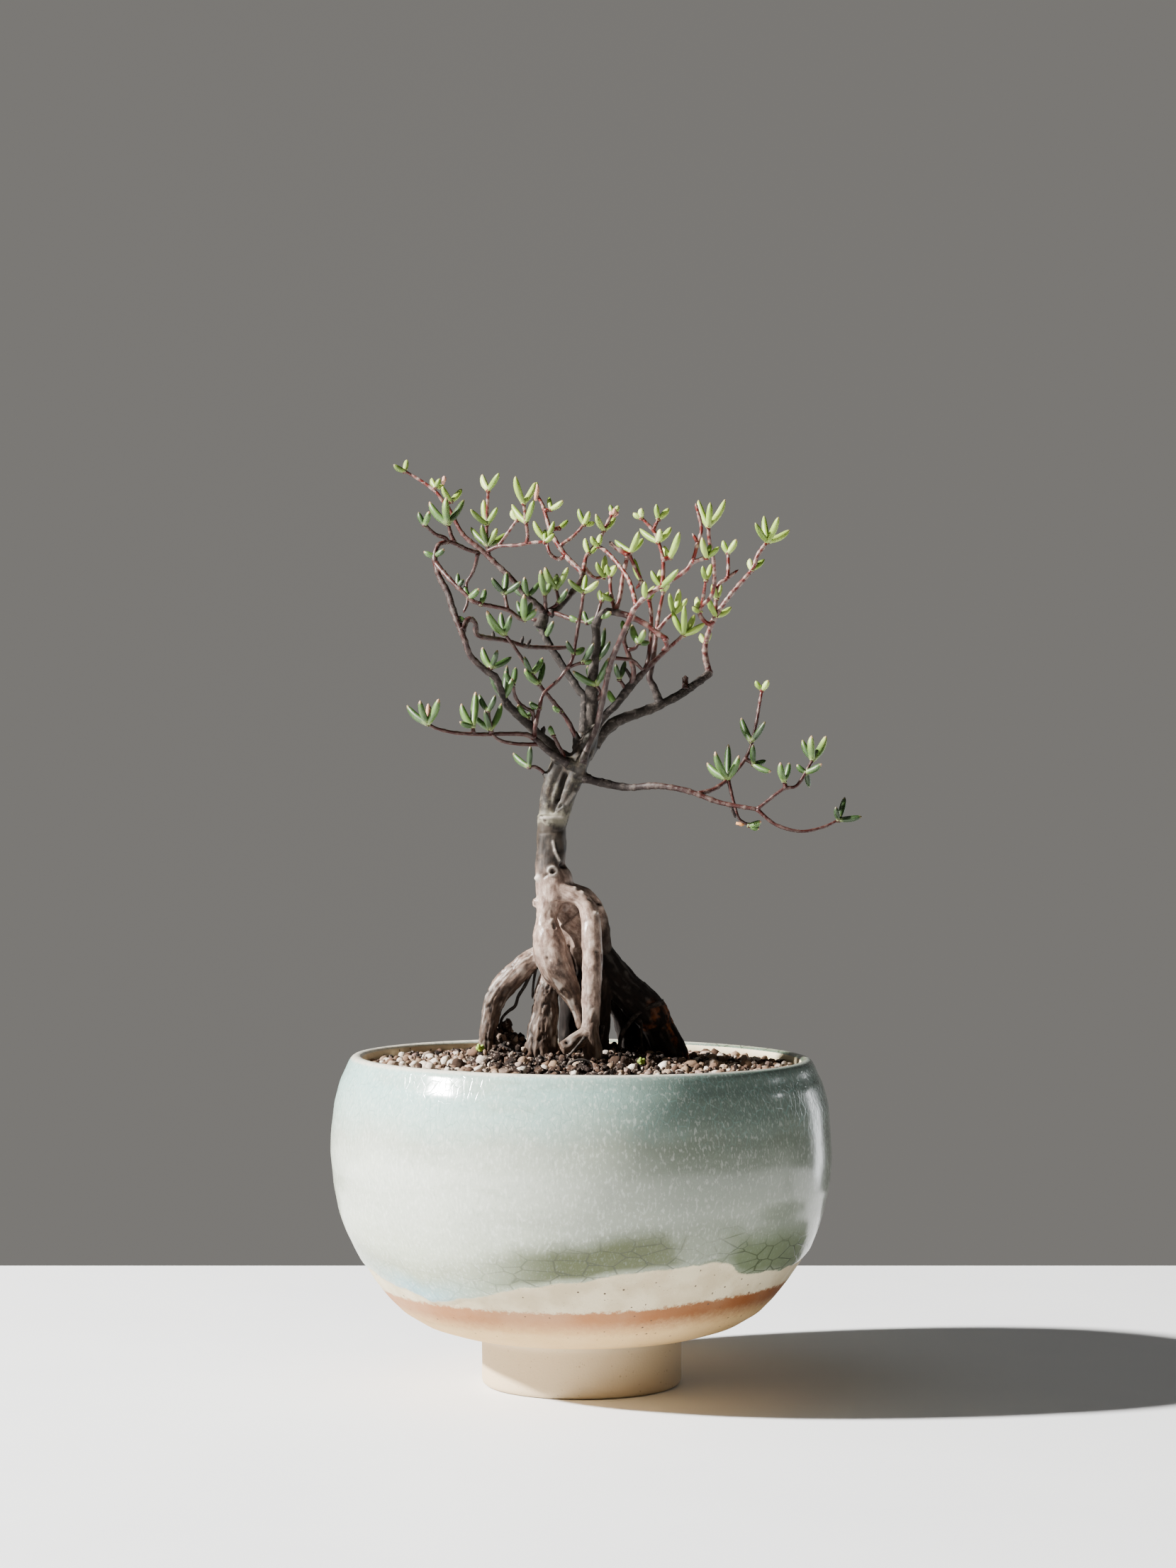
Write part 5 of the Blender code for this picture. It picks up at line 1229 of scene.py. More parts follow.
        ((6, 5), (0.45, 0.4), ((31.2, 201.4), (32.3, 208.2))),
        ((6, 6, 7, 6), (1.0, 0.75, 0.55, 0.4),
         ((20.3, 176.2), (18.6, 180.6), (17.6, 182.9), (18.6, 187.6), (19.8, 197.8), (21.3, 205.3))),
        ((6.6, 6), (0.5, 0.45), ((19.8, 195.2), (22.4, 198.2), (24, 199.5))),
    ),
    "limb_low_right": (
        ((-2, -5, -8, -10, -12), (1.1, 0.85, 0.7, 0.5),
         ((0.6, 156.8), (4.9, 155.6), (11.8, 154.3), (19.8, 154.7), (27.7, 153.3), (36.2, 150.3),
          (45.7, 148.6))),
        ((-10, -8, -6, -5), (0.55, 0.4),
         ((30.2, 152.6), (34.8, 154.1), (39.7, 158.1), (43.2, 163.1), (45, 169.4), (46.8, 179.7))),
        ((-9.6, -9), (0.45, 0.35), ((38, 156.4), (39.5, 150.3), (40.9, 146.1), (43.6, 144.5))),
        ((-12, -12, -11), (0.45, 0.4),
         ((45.5, 148.6), (52.1, 153.7), (55.6, 154.6), (57.9, 157.8), (60, 161.6))),
        ((-12, -13, -12), (0.45, 0.35),
         ((45.5, 148.6), (50.3, 144.7), (56.7, 142.9), (62.7, 144), (66.7, 145.9))),
    ),
}

print(len(LIMBS), "limbs with", sum(len(stems) for stems in LIMBS.values()), "stems")

# %% The tufts: (x, z, (angle, length), ...)
TUFTS = {
    "limb_far_left": (
        (-23.5, 185.5, (-24, 5.6), (22, 4.6), (62, 5.8)), (-20.5, 177.1, (-28, 7.3), (5, 8.5), (24, 5.5)),
        (-14, 172.4, (28, 3.4), (-35, 4.2)), (-30.7, 197.9, (-52, 2.3)),
        (-17.8, 181, (-30, 4), (8, 4.6)),
        (-40.7, 222.5, (-27, 3.6), (22, 3.4)), (-34.6, 222.8, (-41, 7.6), (-4, 6.6), (33, 7.4)),
        (-31.9, 207, (0, 3.5), (40, 2.4)), (-28.8, 203.7, (-22, 3.3), (50, 3.4)), (-26, 202.4, (15, 4)),
        (-20, 204.7, (-40, 5), (5, 5.5), (57, 5)),
        (-14.9, 197.8, (-22, 5.2), (0, 6), (22, 4.8), (52, 4)), (-38, 214.6, (-70, 3.2), (55, 2.8)),
    ),
    "limb_knot": (
        (-9.6, 193, (-30, 4.8), (28, 4.5)), (-1.1, 198, (-60, 2.5)), (1.5, 197.1, (-18, 3.2), (60, 3)),
        (-46, 236.4, (-62, 3.2), (8, 3.2)), (-37.9, 232.2, (-25, 2.8), (30, 2.5), (75, 2.2)),
        (-33.8, 228.6, (-32, 4.4), (38, 4.3)), (-14.3, 203.8, (-58, 4.2), (-8, 5), (40, 5)),
        (-24.2, 231.5, (-22, 4.6), (35, 5)), (-25.2, 216.8, (-42, 6.9), (-16, 5.5), (55, 6), (30, 5)),
        (-24.5, 222.6, (-50, 5.5), (-8, 6.5), (33, 5)), (-9.5, 218, (50, 3.2), (0, 3.4)),
        (-14.4, 223.2, (-38, 6.2), (20, 6)), (-15, 228.2, (-18, 7), (28, 6.2)),
        (-16.7, 223.8, (-30, 3)), (-9.5, 204.4, (-10, 6), (24, 3.6)), (-6.1, 202.3, (36, 4.2)),
        (-6.6, 206, (-28, 6.2), (2, 4), (30, 6.2)), (-8, 226.5, (-8, 3.5), (58, 3.9)),
        (-11.8, 230.2, (2, 3.4)), (-5.8, 221.6, (45, 3.2)), (-9.3, 218.6, (-33, 6), (25, 5.3)),
        (0.7, 222.6, (-20, 4.5), (80, 2.8), (22, 3.6)), (6, 220.8, (-30, 4.5), (38, 4.9)),
        (8.4, 225.2, (-20, 2.6), (30, 2.6)), (1.5, 215.6, (-14, 4.2), (48, 3)),
        (5.8, 208.9, (-28, 4.3), (3, 6), (45, 4.2)),
    ),
    "limb_low_left": (
        (-40, 171.2, (-50, 7.2), (-18, 6), (5, 4.6), (26, 6.8)),
        (-28.2, 170.2, (-28, 6.5), (-72, 3.5), (4, 8.8)),
        (-23.6, 169.4, (-50, 5.2), (-16, 5), (22, 7.2)), (-24.3, 174, (-28, 5), (25, 4.6)),
        (-7.3, 167.9, (-20, 2.6)),
        (0.4, 186.8, (30, 5.5), (80, 2.4)), (-2.2, 189.2, (-30, 3.6), (62, 3.2)),
        (0.5, 205, (-52, 5), (8, 4.5), (55, 4.8)), (-10.9, 175.2, (-60, 3)),
    ),
    "shoot_left": (
        (-12.7, 183.9, (-24, 4.8), (34, 5)), (-11, 181, (-44, 5.2), (14, 5.7)),
        (-20, 194.2, (-38, 7.2), (-10, 5.6), (20, 5)), (-5.2, 174, (-50, 2.6)),
    ),
    "shoot_trunk": ((-13.6, 159.7, (-50, 5.5), (4, 5.3)),),
    "limb_centre": (
        (3.8, 181, (-60, 7), (-25, 5.5), (26, 7.5)), (4.3, 187.6, (12, 8.5), (34, 5.5)),
        (5.1, 198.6, (65, 2.9)), (12.8, 215.5, (-52, 5.2), (22, 5.3), (42, 4.8)),
        (15.6, 208, (-17, 6)), (7.8, 202.5, (-58, 3.2)), (5.2, 202.8, (-12, 2.8), (40, 2.8)),
        (7.4, 209.2, (-18, 3), (30, 3)),
    ),
    "limb_front": (
        (32.5, 214, (-15, 5), (15, 3.5), (50, 4)), (20.5, 206.8, (-32, 4.8), (46, 5.8), (-4, 4.4)),
        (16.2, 203.6, (-3, 3.8), (40, 3.8)), (19.9, 224, (-8, 3.7), (45, 3.8)),
        (20, 218, (-52, 5.8), (10, 3.2), (42, 5)), (23, 214, (-28, 3.4), (20, 6.5)),
        (15.5, 224.3, (-60, 2.4), (0, 2.4)), (4.3, 217, (-40, 3), (10, 3.2)),
    ),
    "limb_inner": (
        (26.6, 194, (-26, 7), (0, 7.4), (28, 6), (62, 6)), (14.8, 191.9, (-20, 5), (26, 3.6), (88, 2.8)),
        (9.8, 182.4, (-14, 4), (18, 5)), (9.1, 176.4, (-32, 4)), (11.4, 194.8, (-16, 3), (24, 3)),
        (17.5, 203.2, (-24, 3), (26, 3.2)),
    ),
    "limb_right": (
        (32.2, 192.1, (-30, 2.8), (20, 3.4)), (34.8, 198.7, (-24, 5.2), (58, 4.8)),
        (35.5, 203, (-14, 4), (16, 4)), (48.2, 218.1, (-36, 5.7), (-6, 7), (24, 6.6), (62, 6.8)),
        (44.6, 210.9, (50, 4.4), (-10, 3)), (38, 215.2, (-22, 3.5), (32, 4)),
        (32.9, 222.1, (-20, 7.4), (4, 6), (32, 8.4)), (32.3, 208.2, (-16, 3.6), (18, 4.4)),
        (30.6, 200, (-60, 2.5), (-12, 4)), (24, 199.5, (-14, 5.2), (12, 6.5), (42, 5)),
        (21.3, 205.3, (-20, 3.8), (24, 3)),
    ),
    "limb_low_right": (
        (46.8, 179.7, (-38, 2.8), (35, 2.8)), (45, 166.2, (-22, 6.6), (34, 6)),
        (37.6, 156.4, (-52, 6.5), (-26, 7.6), (2, 8.8), (26, 6.5)),
        (44.6, 160.4, (-3, 5), (75, 3.4), (115, 4.8)),
        (52.6, 156, (-14, 4.8), (16, 4.8)), (60, 161.6, (-28, 5.6), (-4, 6), (32, 7)),
        (58.2, 158, (-50, 3), (62, 4.4), (165, 4)), (66.7, 145.9, (-15, 3.4), (18, 6), (82, 5.8)),
        (43.6, 144.5, (70, 3), (110, 2.6)),
    ),
}

# How old the bark of a limb looks at most, from 0 for young and red to 1 for old and grey
OLDEST = {"limb_low_right": 0.5, "limb_low_left": 0.45, "shoot_left": 0.4, "limb_knot": 0.9}
print(sum(len(tufts) for tufts in TUFTS.values()), "tufts")

# %% [markdown]
# Young stems are red and smooth, and old ones grey and rough, so each ring knows an age, read from
# how thick the stem is. Every few millimetres a pair of old leaf bases leaves a slight swelling. Sun
# and shade are painted on the crown: on its upper right the bark is redder and the leaves yellower,
# and elsewhere both are darker.

# %% Stems
STEM_STEP, STEM_SIDES, SEEN_STEPS = 0.7, 9, 9
YOUNG_AND_OLD, BARK_AGES = (0.5, 1.35), (0.0, 0.2, 0.42, 0.62, 0.9)

# A stem's flare at its foot, its swellings and its blunt tip: shares of the radius, and lengths in mm
FLARE, FLARE_LENGTH = 0.45, 1.1
SWELLING, SWELLING_LENGTH, SWELLING_GAPS, SWELLINGS = 0.24, 0.42, (1.8, 5), 70
TIP_LENGTH, TIP_LEAST = 0.7, 0.06


def along(path, values):
    """values, spread evenly over the length of a seen path, read at each of its points."""
    run = run_along(np.array(path, float))
    return np.interp(run / run[-1], np.linspace(0, 1, len(values)), values)


def nearest(seen, x, z):
    """The seen point (x, z, depth) that shows closest to a place."""
    return seen[np.argmin(np.hypot(seen[:, 0] - x, seen[:, 1] - z))]


def stem_lines(limb):
    """The limb's stems as rows of x, z, depth and radius, and seen points all along them.

    A stem after the first starts at the depth of the stem it grows on: with s the share of its
    length, its depth is depth(s) + (parent - depth(0)) * (1 - s).
    """
    lines, seen = [], []
    for depths, radii, path in LIMBS[limb]:
        depth = along(path, depths)
        if seen:
            parent = nearest(np.concatenate(seen), *path[0])[2]
            depth = depth + (parent - depth[0]) * (1 - along(path, (0, 1)))
        line = np.column_stack([path, depth])
        t = np.tile(np.linspace(0, 1, SEEN_STEPS), len(path) - 1)[:, None]
        start = np.repeat(np.arange(len(path) - 1), SEEN_STEPS)
        seen.append((1 - t) * line[start] + t * line[start + 1])
        lines.append(np.column_stack([line, along(path, radii)]))
    return lines, np.concatenate(seen)


def stem_tube(points, radii, draw, youngest=0.0, oldest=1.0):
    """A stem through places in metres: radius * (1 + flare at its foot + swellings) * blunt tip.

    The flare is FLARE exp(-run / its length) and each swelling SWELLING exp(-((run - its place) / its
    length)^2), half as much on old wood. The tip is the square root of what is left of TIP_LENGTH.
    """
    values, run = through(np.column_stack([points, np.asarray(radii) * MM]), STEM_STEP * MM)
    path, radius, run = values[:, :3], values[:, 3:], run[:, None] / MM
    spots = np.cumsum(draw.uniform(*SWELLING_GAPS, SWELLINGS))
    age = np.clip(smoothstep(*YOUNG_AND_OLD, radius / MM), youngest, oldest)
    knot = np.exp(-(((run - spots) / SWELLING_LENGTH) ** 2)).sum(1)[:, None]
    swell = FLARE * np.exp(-run / FLARE_LENGTH) + SWELLING * (1 - 0.5 * age) * knot
    tip = np.sqrt(np.clip((run[-1] - run) / TIP_LENGTH, TIP_LEAST, 1))
    grid = rings_along(path, radius * (1 + swell) * tip, STEM_SIDES)
    off, own = grid - path[:, None], draw.uniform(0, 90)
    stretched = np.broadcast_to(run[..., None] * MM / 4, off[..., :1].shape)
    bark_at = np.concatenate([off[..., :2], stretched], -1)
    bumps = (0.05 + 0.17 * age) * noise(bark_at / MM + own, 0.7, 71)
    grid = path[:, None] + off * (1 + bumps)[..., None]
    facts = {"age": age, "knot": np.minimum(knot, 1), "grain": bark_at + own * MM}
    return closed_tubes(grid[None], **{name: fact[None] for name, fact in facts.items()})


def sunny_side(look):
    """Where sunlight is painted on the crown: 1 on its upper right, where z + 0.65 x passes a height."""
    over = look.plus(look.axis("X", 650.0), look.axis("Z"))
    return look.span(look.plus(over, look.times(look.cloud(14, detail=1), 16.0)), 205, 219)


def stem_look():
    """Bark by age, red to grey, with painted shade and painted sunlight, streaks, and pale dry patches on the
    middle ages.
    """
    look = Finish("stem_bark", specular_ior_level=0.32)
    grain, sunny = look.fact("grain", out="Vector"), sunny_side(look)
    streak = look.cloud(0.8, at=grain, detail=4, rough=0.7)
    age = look.plus(look.fact("age"), look.sway(look.cloud(2.6, detail=4, rough=0.65), 0.55))
    # Painted shade and painted sunlight: a dark copy of the bark by age for most of the crown, and a redder
    # one where sunlight is painted on its upper right.
    shaded = look.ramp(age, *zip(BARK_AGES, ("35130F", "27100D", "1A0F0C", "18120F", "241E19")))
    sunlit = look.ramp(age, *zip(BARK_AGES, ("5C170F", "46130D", "2C1511", "221916", "332C25")))
    colour = look.mix(shaded, sunlit, sunny)
    dry = look.span(look.cloud(1.3, detail=4, rough=0.7), 0.5, 0.6)
    # Pale dry patches and pale leaf bases are laid on thicker where sunlight is painted.
    colour = look.mix(colour, "A0928A", dry, look.span(sunny, 0, 1, 0.1, 0.45))
    wear_and_painted_sun = look.times(look.span(sunny, 0, 1, 0.1, 0.5), look.span(age, 0.3, 0.6, 1, 0.2))
    colour = look.mix(colour, "AC9F92", look.fact("knot"), wear_and_painted_sun)
    colour = look.mix(colour, "8F8176", look.span(streak, 0.6, 0.74, 0, 0.3))
    colour = look.mix(colour, "1C1210", look.span(streak, 0.42, 0.28, 0, 0.65))
    look.wear(base_color=colour, roughness=look.span(age, 0.1, 0.6, 0.42, 0.85),
              normal=look.relief(look.cloud(0.4, at=grain, detail=4), 0.08))
    return look.material


stem_finish = stem_look()
print("a stem's first depths:", np.round(stem_lines("limb_far_left")[0][0][:3, 2], 1), "mm")

# %% [markdown]
# The leaves are short, plump and three-sided with rounded corners. A row of eight rings, each with
# seven points, makes one; all the leaves of a limb are worked out in a single array. They stand in
# tufts, and neighbouring leaves tip to and from the camera in turn, so the tufts are round.

# %% Leaves: sizes in mm and tilts in degrees
LEAF_SINK, SMALLEST_LEAF, LEAF_TILT, SMALL_TILT = 0.55, 3.1, (8, 38), (-40, 40)
TWIG_FROM, TWIG_PAST, TWIG_RADII = 0.9, 0.4, (0.52, 0.46, 0.46)
LEAF_SIDES, LEAF_CORNERS = 7, 0.13

# A leaf's width: (share of its length, share of its greatest width)
LEAF_SHAPE = ((0.0, 0.66), (0.14, 0.8), (0.31, 0.95), (0.5, 1.0), (0.68, 0.93), (0.83, 0.74), (0.94, 0.44),
              (1.0, 0.14))


def leaf_row(base, angle, tilt, seen_length, long, tone):
    """A leaf from a base in metres, at an angle from upright as seen, tipped away from the eye by a tilt.

    It runs along (sin angle * cos tilt, sin tilt, cos angle * cos tilt), and is long mm in all.
    """
    lean, turn = math.radians(angle), math.radians(tilt)
    run = (math.sin(lean) * math.cos(turn), math.sin(turn), math.cos(lean) * math.cos(turn))
    return (*base, *run, long, seen_length, tone)


def tuft_plan(limb, seen):
    """What the tufts say, as places and directions: twigs, hearts, and rows of the leaves.

    A leaf that tips by a tilt is longer than it looks by 1 / cos tilt.
    """
    draw, fine = random.Random(limb), random.Random(limb + " small")
    twigs, hearts, leaves = [], [], []
    for x, z, *tuft in TUFTS[limb]:
        foot = nearest(seen, x, z)
        start, base = placed(*foot), placed(x, z, foot[2])
        gap = np.linalg.norm(base - start)
        if gap > TWIG_FROM * MM:
            twigs.append((start, base + (base - start) / gap * TWIG_PAST * MM))
        else:
            base = start
        hearts.append(base)
        side = draw.choice((-1, 1))
        for angle, length in tuft:
            if length >= SMALLEST_LEAF:
                tilt, side = side * draw.uniform(*LEAF_TILT), -side
            else:
                tilt = fine.uniform(*SMALL_TILT)
            long = length / math.cos(math.radians(tilt))
            leaves.append(leaf_row(base, angle, tilt, length, long, fine.random()))
    return twigs, hearts, np.array(leaves)


def leaf_shapes(leaves, slim=1.0):
    """Grids of leaves: base + length * (run * t + rise * curl * (t^2 - t)), and a ring about it.

    A ring's radius is the width there times 1 + LEAF_CORNERS * cos 3a, a triangle with rounded corners.
    """
    base, run, reach = leaves[:, :3], leaves[:, 3:6], leaves[:, 6:7]
    seen_length, tone = leaves[:, 7:8], leaves[:, 8:]
    t, width = np.array(LEAF_SHAPE).T
    t = np.concatenate([-LEAF_SINK / reach, np.broadcast_to(t[1:], (len(leaves), len(t) - 1))], 1)
    rise = unit(np.array([0, 0, 1.0]) - run * run[:, 2:])
    bow = (0.16 + 0.2 * tone) * (t * t - t) * (t > 0)
    middle = run[:, None] * t[..., None] + rise[:, None] * bow[..., None]
    middle = base[:, None] + middle * reach[:, None] * MM
    across = unit(np.cross(run, np.array([0.0, 1.0, 0.0])))
    upward = np.cross(run, across)
    half = 0.87 * (0.72 + 0.05 * np.minimum(seen_length, 7)) * (0.9 + 0.2 * tone) * slim
    angle = np.linspace(0, 2 * math.pi, LEAF_SIDES, endpoint=False) + tone * 2
    radius = (half * width)[..., None] * (1 + LEAF_CORNERS * np.cos(3 * angle))[:, None] * MM
    ring = across[:, None] * np.cos(angle)[..., None] + upward[:, None] * np.sin(angle)[..., None]
    grids = middle[:, :, None] + ring[:, None] * radius[..., None]
    return closed_tubes(grids, tone=tone[:, None], along=np.clip(t, 0, 1)[..., None])


def leaf_look():
    """Waxy green by tone, yellower where sunlight is painted and deeper where shade is, pale at the foot and
    pinkish at the tip.
    """
    look = Finish("leaf_skin", roughness=0.46, subsurface_weight=0.15, subsurface_scale=0.0012,
                  subsurface_radius=(0.8, 1.0, 0.3))
    tone, along_leaf = look.fact("tone"), look.fact("along")
    tint = look.plus(tone, look.sway(look.cloud(3.5), 0.9))
    # Painted shade and painted sunlight: a deep green copy for most of the crown, and a yellow-green one
    # where sunlight is painted on its upper right.
    shaded = look.ramp(tint, (0.0, "1B300D"), (0.35, "274016"), (0.65, "365220"), (1.0, "506E32"))
    sunlit = look.ramp(tint, (0.0, "66812A"), (0.35, "7F993A"), (0.65, "98AF4F"), (1.0, "B2C474"))
    colour = look.mix(shaded, sunlit, sunny_side(look))
    colour = look.mix(colour, "A3B06C", look.span(along_leaf, 0.25, 0.0, 0, 0.45))
    colour = look.mix(colour, "B98A72", look.span(along_leaf, 0.86, 1.0), look.span(tone, 0.2, 0.9, 0.2, 0.8))
    look.wear(base_color=colour, normal=look.relief(look.cells(0.3), -0.006))
    return look.material


leaf_finish = leaf_look()
print("the leaves' finish has", len(leaf_finish.node_tree.nodes), "nodes")

# %% The limbs, stem by stem and leaf by leaf
# The heart of a tuft, where its leaves meet: heights in mm and radii
HEART, HEART_RADII = (-0.7, 0, 0.6), (0.36, 0.6, 0.5)


def make_limb(limb):
    """The wood and the leaves of a limb, as two pieces in the place of its CAD node."""
    lines, seen = stem_lines(limb)
    twigs, hearts, leaves = tuft_plan(limb, seen)
    draw = np.random.default_rng(len(leaves) + 7)
    wood = []
    for x, z, depth, radius in (line.T for line in lines):
        wood.append(stem_tube(placed(x, z, depth), radius, draw, oldest=OLDEST.get(limb, 1.0)))
    for start, end in twigs:
        wood.append(stem_tube(np.stack([start, (start + end) / 2, end]), TWIG_RADII, draw, oldest=0.2))
    for heart in hearts:
        stack = heart + np.array([(0, 0, height) for height in HEART]) * MM
        wood.append(stem_tube(stack, HEART_RADII, draw, oldest=0.15))
    name = limb.replace("limb_", "")
    piece(name + "_wood", gathered(wood), stem_finish, "stems_and_leaves", limb)
    piece(name + "_leaves", leaf_shapes(leaves), leaf_finish, "stems_and_leaves", limb)
    return seen, len(leaves)


made = {limb: make_limb(limb) for limb in LIMBS}
every_seen = np.concatenate([seen for seen, _ in made.values()])
print("leaves in all:", sum(count for _, count in made.values()))

# %% [markdown]
# The small things that make it one particular plant: rootlets that hang between the roots, stubs
# where side shoots broke off, a few dry leaves, and two seedlings that came up in the gravel.

# %% Rootlets and stubs: (depth, radius, points), and (start, end, radius)
ROOTLETS = (
    (-1.5, 0.36, ((-13.4, 105.9), (-14.7, 102.9), (-16.4, 100.2), (-17.3, 97.6), (-19.2, 96.1), (-20.9, 93.8),
                  (-21.3, 89))),
    (-1.5, 0.3, ((-11.7, 108.1), (-12.4, 104.4), (-12.8, 99.5))),
    (3.6, 0.55, ((21.4, 98.6), (20, 98.2), (16.9, 97.2), (13.9, 95), (11.7, 92.3), (10.2, 89.7), (9.4, 84))),
    (3.0, 0.32, ((14.5, 94), (15.4, 93.4), (15.5, 89.3), (16, 85))),
    (-11.6, 0.3, ((0.9, 89.6), (-0.8, 87.6), (-2.2, 85.9), (-4, 84))),
    (-8.4, 0.28, ((5.6, 92.6), (5.4, 90.6), (4.7, 88), (4.6, 84))),
    (-14.4, 0.26, ((-4.4, 80.9), (-2.6, 83), (0, 83.7), (2.4, 82.8), (3, 80.9))),
)
STUBS = (
    ((-23, 193), (-23, 194.9), 0.45), ((-16, 192), (-15.1, 193.6), 0.45),
    ((-14.2, 191.3), (-13.1, 192.8), 0.4), ((13.3, 182.5), (11.2, 185.5), 0.4),
    ((37.9, 148.8), (39.9, 146.4), 0.45), ((24, 176.6), (24.2, 178.6), 0.7),
    ((-9.4, 168.6), (-9.7, 170.2), 0.6), ((-30.6, 193.6), (-31.9, 194.6), 0.4),
    ((27.5, 179.6), (26.9, 181.4), 0.5),
)


def make_rootlets():
    """Thin grey-brown tubes in the roots' depth, and stubs that start on the nearest stem."""
    draw = np.random.default_rng(81)
    tubes = []
    for depth, radius, points in ROOTLETS:
        x, z = np.array(points).T
        tubes.append(stem_tube(placed(x, z, depth), np.linspace(radius * 1.2, radius, len(x)), draw, 0.75))
    for start, end, radius in STUBS:
        x, z, depth = nearest(every_seen, *start)
        line = [placed(x, z, depth), placed((x + end[0]) / 2, (z + end[1]) / 2, depth), placed(*end, depth)]
        tubes.append(stem_tube(np.stack(line), (radius, radius, radius * 0.9), draw, 0.5))
    piece("rootlets_and_stubs", gathered(tubes), stem_finish, "stems_and_leaves")


make_rootlets()

# %% Dry leaves and seedlings: (x, z, depth or None on a stem, (angle, tilt, length), ...)
DRY_LEAVES = (
    (-40.2, 171.8, None, (5, 4, 4.2)), (-11.9, 229.2, None, (6, -10, 4.0)),
    (-35.9, 233.4, None, (10, 0, 1.8)),
    (8.4, 224.9, None, (-45, 10, 1.6), (5, -15, 2.0), (50, 5, 1.5)),
    (40.6, 144.9, None, (100, 0, 1.6)),
)
SEEDLINGS = (
    (-26.3, 86.3, -4.6, (-60, 20, 1.4), (-15, -25, 1.8), (30, 15, 1.7), (70, -10, 1.3), (5, 40, 1.2)),
    (15.5, 82.9, -11, (-55, 10, 1.2), (-10, -20, 1.6), (40, 15, 1.4), (80, 0, 1.1)),
)


def make_small_leaves(name, finish, plan, seed, slim, *colours):
    """Leaves where the plan puts them, in a finish of their own, coloured by tone.

    Where no depth is given, the nearest stem's is taken.
    """
    fine, rows = random.Random(seed), []
    for x, z, depth, *tuft in plan:
        depth = nearest(every_seen, x, z)[2] if depth is None else depth
        rows += [leaf_row(placed(x, z, depth), angle, tilt, length, length, fine.random())
                 for angle, tilt, length in tuft]
    look = Finish(finish, roughness=0.7)
    tint = look.plus(look.fact("tone"), look.times(look.cloud(1.2), 0.4))
    look.wear(base_color=look.ramp(tint, *colours), normal=look.relief(look.cloud(0.4), 0.05))
    piece(name, leaf_shapes(np.array(rows), slim), look.material, "stems_and_leaves")


make_small_leaves("dry_leaves", "dry_leaf", DRY_LEAVES, 5, 0.8,
                  (0.0, "C07F3E"), (0.6, "B98A5E"), (1.0, "BC8A78"))
make_small_leaves("seedlings", "seedling", SEEDLINGS, 6, 0.7, (0.0, "6A8A22"), (1.0, "8FA838"))

# %% [markdown]
# A square of plastic mesh lies over the drain hole, under the soil. Nobody sees it in the photo, so
# its CAD shape stays and only gets a finish.

# %% Drain mesh
mesh_look = Finish("black_plastic", base_color="2B2A28", roughness=0.45)
mesh_look.wear(normal=mesh_look.relief(mesh_look.cloud(1.5), 0.05))
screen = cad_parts["drain_mesh"]
screen.data.materials.clear()
screen.data.materials.append(mesh_look.material)
print("the drain mesh keeps its", len(screen.data.polygons), "faces")

# %% [markdown]
# The pot stands on a white table whose far edge shows behind it, with a plain grey room beyond. A
# small strong key lamp high on the left casts the crisp shadows, a tall window behind on the right
# edges the glaze with light, a small lamp there puts a glint on it, and a wide one overhead is
# barely on. The room itself lights the rest, dimmer from the right and from overhead.

# %% Table, room and lights
TABLE = ((-1.1, 1.1), (-1.0, 0.2125), (-0.03, 0.0))
TABLE_EDGE = 0.002


def make_table():
    """A thick white board with its top at zero and slightly rounded edges."""
    (left, right), (near, far), (low, high) = TABLE
    corners = [(x, y, z) for z in (low, high) for y in (near, far) for x in (left, right)]
    faces = [(0, 2, 3, 1), (4, 5, 7, 6), (0, 1, 5, 4), (2, 6, 7, 3), (0, 4, 6, 2), (1, 3, 7, 5)]
    mesh = bpy.data.meshes.new("table")
    mesh.from_pydata(corners, [], faces)
    look = Finish("white_table", roughness=0.5)
    look.wear(base_color=look.mix("F3F4F5", "E9EAEC", look.cloud(60)))
    mesh.materials.append(look.material)
    table = bpy.data.objects.new("table", mesh)
    bpy.context.scene.collection.objects.link(table)
    edge = table.modifiers.new("edge", "BEVEL")
    edge.width, edge.segments = TABLE_EDGE, 3


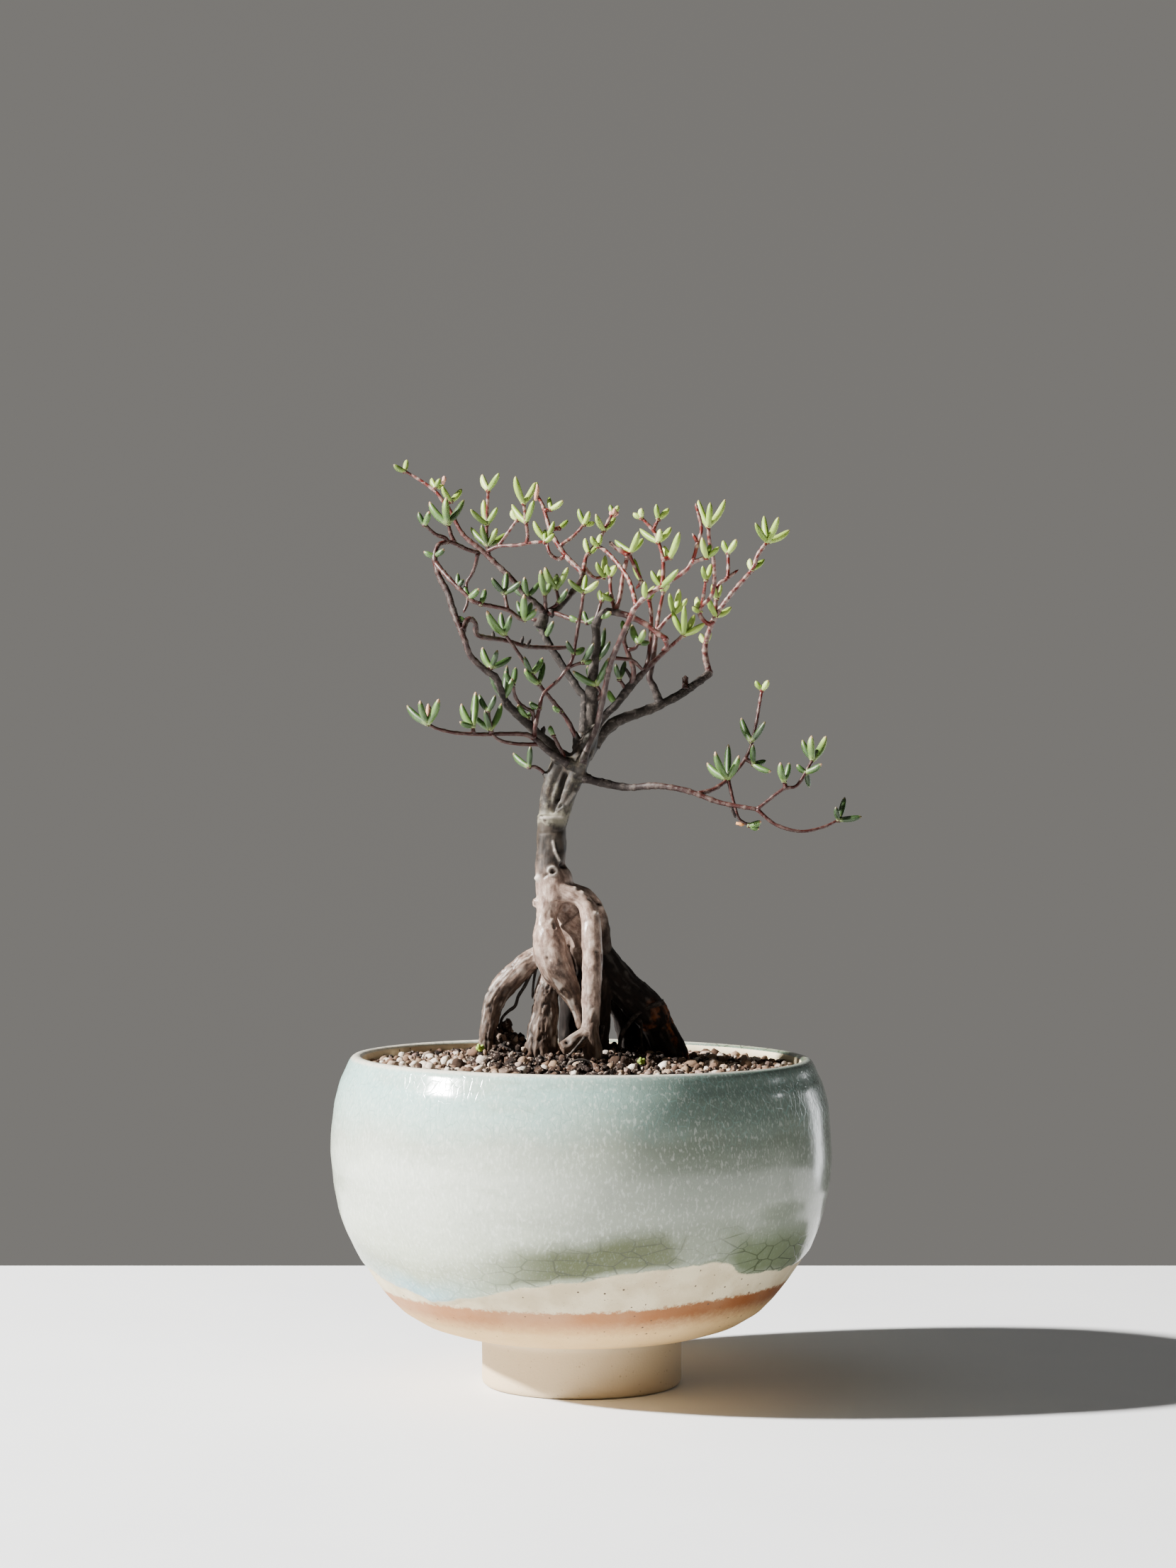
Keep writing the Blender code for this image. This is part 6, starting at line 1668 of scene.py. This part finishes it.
def make_lamp(name, place, target, size, power, colour=(1, 1, 1), tall=None):
    """A lamp out of the camera's sight at a place in metres, round or (tall) upright, facing a target."""
    data = bpy.data.lights.new(name, "AREA")
    data.shape, data.size, data.size_y = "RECTANGLE" if tall else "DISK", size, tall or size
    data.energy, data.color = power, colour
    lamp = bpy.data.objects.new(name, data)
    lamp.visible_camera = False
    lamp.location = place
    away = np.array(place) - np.array(target)
    lamp.rotation_euler = (math.atan2(math.hypot(*away[:2]), away[2]), 0, math.atan2(away[0], -away[1]))
    bpy.context.scene.collection.objects.link(lamp)


def make_room_light(stops, overhead):
    """A soft light from all round, as seen behind the table, and less of it from overhead.

    stops are (the direction's x, colour); the share that comes from straight up is overhead.
    """
    world = bpy.data.worlds.new("room")
    world.use_nodes = True
    tree = world.node_tree
    way, split, share, high, room = (tree.nodes.new("ShaderNode" + kind) for kind in
                                     ("TexCoord", "SeparateXYZ", "MapRange", "MapRange", "ValToRGB"))
    share.inputs["From Min"].default_value = -1
    for socket, value in (("From Min", 0.3), ("From Max", 0.6), ("To Min", 1.0), ("To Max", overhead)):
        high.inputs[socket].default_value = value
    for k, (x, colour) in enumerate(stops):
        stop = room.color_ramp.elements[k] if k < 2 else room.color_ramp.elements.new(x / 2 + 0.5)
        stop.position, stop.color = x / 2 + 0.5, (*colour, 1)
    background = tree.nodes["Background"].inputs
    for out, into in ((way.outputs["Generated"], split.inputs[0]),
                      (split.outputs["X"], share.inputs["Value"]), (share.outputs[0], room.inputs[0]),
                      (room.outputs[0], background["Color"]),
                      (split.outputs["Z"], high.inputs["Value"]), (high.outputs[0], background["Strength"])):
        tree.links.new(out, into)
    bpy.context.scene.world = world


ROOM_STOPS = (
    (-1, (0.24, 0.232, 0.218)), (-0.25, (0.2, 0.193, 0.181)), (0.22, (0.195, 0.188, 0.176)),
    (0.42, (0.075, 0.072, 0.068)), (0.8, (0.035, 0.034, 0.032)),
)
make_table()
make_room_light(ROOM_STOPS, 0.25)
make_lamp("key", (-2.02, -0.41, 1.43), (0, 0, 0.09), 0.13, 385, (1.0, 0.985, 0.955))
make_lamp("window", (1.04, 1.08, -0.12), (0, 0, 0.06), 0.24, 4.5, (0.95, 0.98, 1.0), tall=0.9)
make_lamp("glint", (1.35, 0.5, 0.55), (0, 0, 0.09), 0.08, 0.5, (0.95, 0.98, 1.0))
make_lamp("top", (-0.5, -0.1, 1.75), (0, 0, 0.05), 1.1, 2)
print("table top", TABLE[1][1] - TABLE[1][0], "m deep; four lamps")
